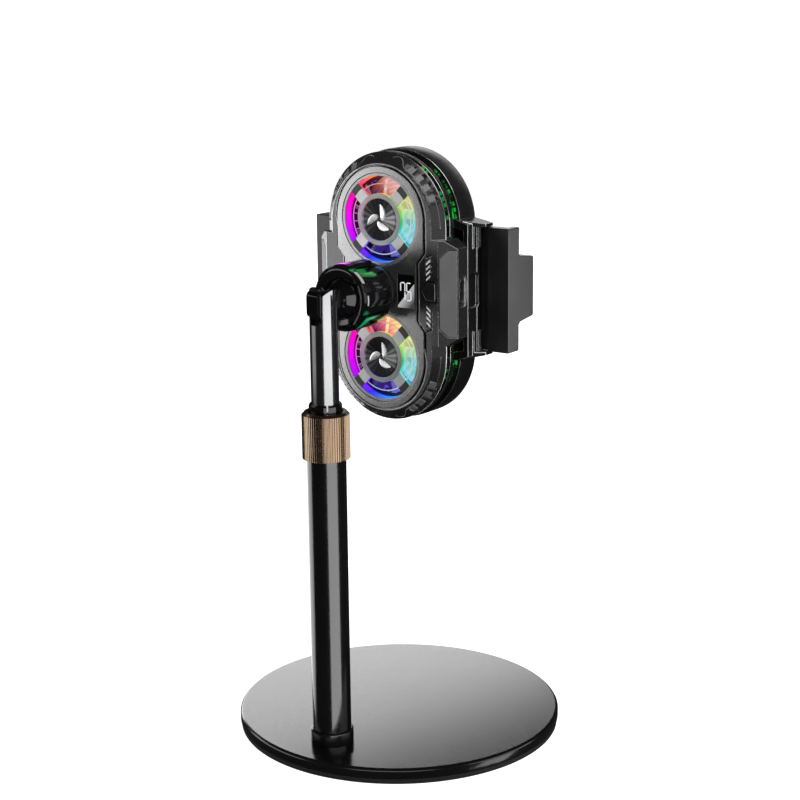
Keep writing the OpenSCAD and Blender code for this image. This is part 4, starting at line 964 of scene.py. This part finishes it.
for side in SIDES:
    add_piece("fan_mark_" + side, fan_mark(side), mark_silver, "cooler")
    # Painted light: the fine ring and grille glow in coloured light, though they are no lamp.
    lines = lit_plastic("lines_" + side, side, LINES, 0.8, step=0.9, low=0.85)
    add_piece("light_lines_" + side, light_lines(side), lines, "cooler", smooth=True)
add_piece("display_digits", digits("75"), digit_glow("digit_glow"), "cooler")
add_piece("bevel_lines", bevel_lines, line_highlight_grey, "cooler", smooth=True)
add_piece("shoulder_inlays", shoulder_inlays, inlay_grey, "cooler")
trim = add_piece("lip_line", lip_line, lip_highlight_silver, "cooler", smooth=True)
bars = add_piece("hatch_bars", hatch_bars, bar_glint_white, "cooler")
# Painted shade: black floors inside the hatch slots.
add_piece("hatch_floor", hatch_floor, painted_shade_black, "cooler")
add_piece("vent_lamps", vent_lamps, vent_glow("vent_glow"), "cooler")
# Painted shade: a black bead for the shaded gap round the button.
add_piece("button_rim", button_rim, painted_shade_black, "cooler", smooth=True)
for hand in HANDS:
    coils = add_piece("jaw_coils_" + hand, coil_springs(hand), steel, None, smooth=True)
    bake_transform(coils)
    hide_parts("jaw_spring_" + hand)

# Studio lights, each kept to the pieces that it is there for

STAND = ("base_plate", "base_pad", "foot_ring", "outer_tube", "lock_collar", "collet_sleeve",
         "inner_tube", "tilt_pin", "ball_stud")
COLLAR = ("lock_collar", "inner_tube", "collet_sleeve")
stand = [nodes[name] for name in STAND]
base = [nodes["base_plate"], nodes["base_pad"]]
tube = nodes["outer_tube"]
nut = nodes["lock_nut"]
upper_stand = [obj for obj in stand if obj not in base and obj != tube]
cooler = [obj for obj in bpy.context.scene.objects if obj.type == "MESH" and obj not in stand]
body = [obj for obj in cooler if obj != nut]
front = [nodes["front_shell"], nodes["power_button"], trim]
NUT_AT = (0, -0.035, 0.172)
BASE_ROUND = 1.25       # distance of the lights round the base

area_light("key", (0.94, -0.4, -0.1), (0, -0.04, -0.1), (1.9, 1.1), 16.5, upper_stand)
area_light("key_low", (0.935, -0.399, -0.15), (0, -0.04, -0.15), (1.2, 1.1), 13.2, [tube])
area_light("front_left", (-0.336, -0.274, 0.165), (0.009, -0.021, 0.165), (0.24, 0.26), 0.55, body)
area_light("jaw_glow", (0.175, 0.097, 0.147), (0.044, 0.012, 0.165), (0.12, 0.09), 0.12,
           [nodes["jaw_right"], nodes["jaw_left"]])
area_light("side_left", (-1.25, 0.27, -0.22), (0, 0, -0.22), (2.2, 0.76), 10.8, body + [tube])
area_light("base_glow", (-0.993, 0.761, 0.3), (-0.035, -0.042, 0.3), (1.09, 0.76), 8.8,
           base + [nodes["foot_ring"]], roll=14)
for turn in (20, -60, -150):
    angle = math.radians(turn)
    at = Vector((BASE_ROUND * math.cos(angle), BASE_ROUND * math.sin(angle), 0.3))
    area_light("base_round_%d" % (turn % 360), at, (0, 0, 0.3), (1.3, 0.63), 5, base)
area_light("left_soft", (-0.9, -0.6, 0.3), (0, -0.04, 0.1), (0.8, 0.8), 1.4,
           [nodes[name] for name in COLLAR])
area_light("rim_glow", (1.0, 0.25, -0.42), (0, 0, -0.1), (0.5, 0.4), 1.5, base)
area_light("top_right", (0.55, -0.1, 1.1), (0, 0, 0.15), (0.9, 0.9), 9,
           [obj for obj in cooler if obj not in front])
area_light("top_soft", (0.55, -0.1, 1.1), (0, 0, 0.15), (0.9, 0.9), 3.5, front)
area_light("waist_fill", (-0.284, -0.4, 0.06), (0, -0.009, 0.172), (0.1, 0.1), 0.03, front)
area_light("edge_right", (1.0, 0.09, 0.0), (0, 0, 0.0), (0.45, 0.5), 3.2, cooler)
area_light("fill", (0.75, -0.75, 0.3), (0, 0, 0.17), (0.8, 0.8), 0.9, cooler)
area_light("back_soft", (-0.3, 1.2, 0.5), (0, 0, 0.17), (1.0, 0.8), 5, body)
area_light("bar_glow", (0.15, -0.35, 0.25), (0.021, -0.009, 0.172), (0.1, 0.1), 0.55, [bars])
area_light("nut_glow", (-0.3, -0.4, 0.3), NUT_AT, (0.3, 0.12), 0.12, [nut, nodes["ball_stud"]])
for name, at, size, power, colour in (
        ("nut_green", (0.004, -0.0112, 0.198), 0.02, 0.0014, (0.02, 1.0, 0.2)),
        ("nut_green_low", (0.008, -0.0112, 0.147), 0.02, 0.0014, (0.0, 1.0, 0.3)),
        ("nut_magenta", (-0.02, -0.0112, 0.186), 0.014, 0.0016, (1.0, 0.0, 0.9))):
    area_light(name, at, NUT_AT, (size, size), power, [nut], colour)

bpy.context.scene.view_settings.view_transform = "Standard"
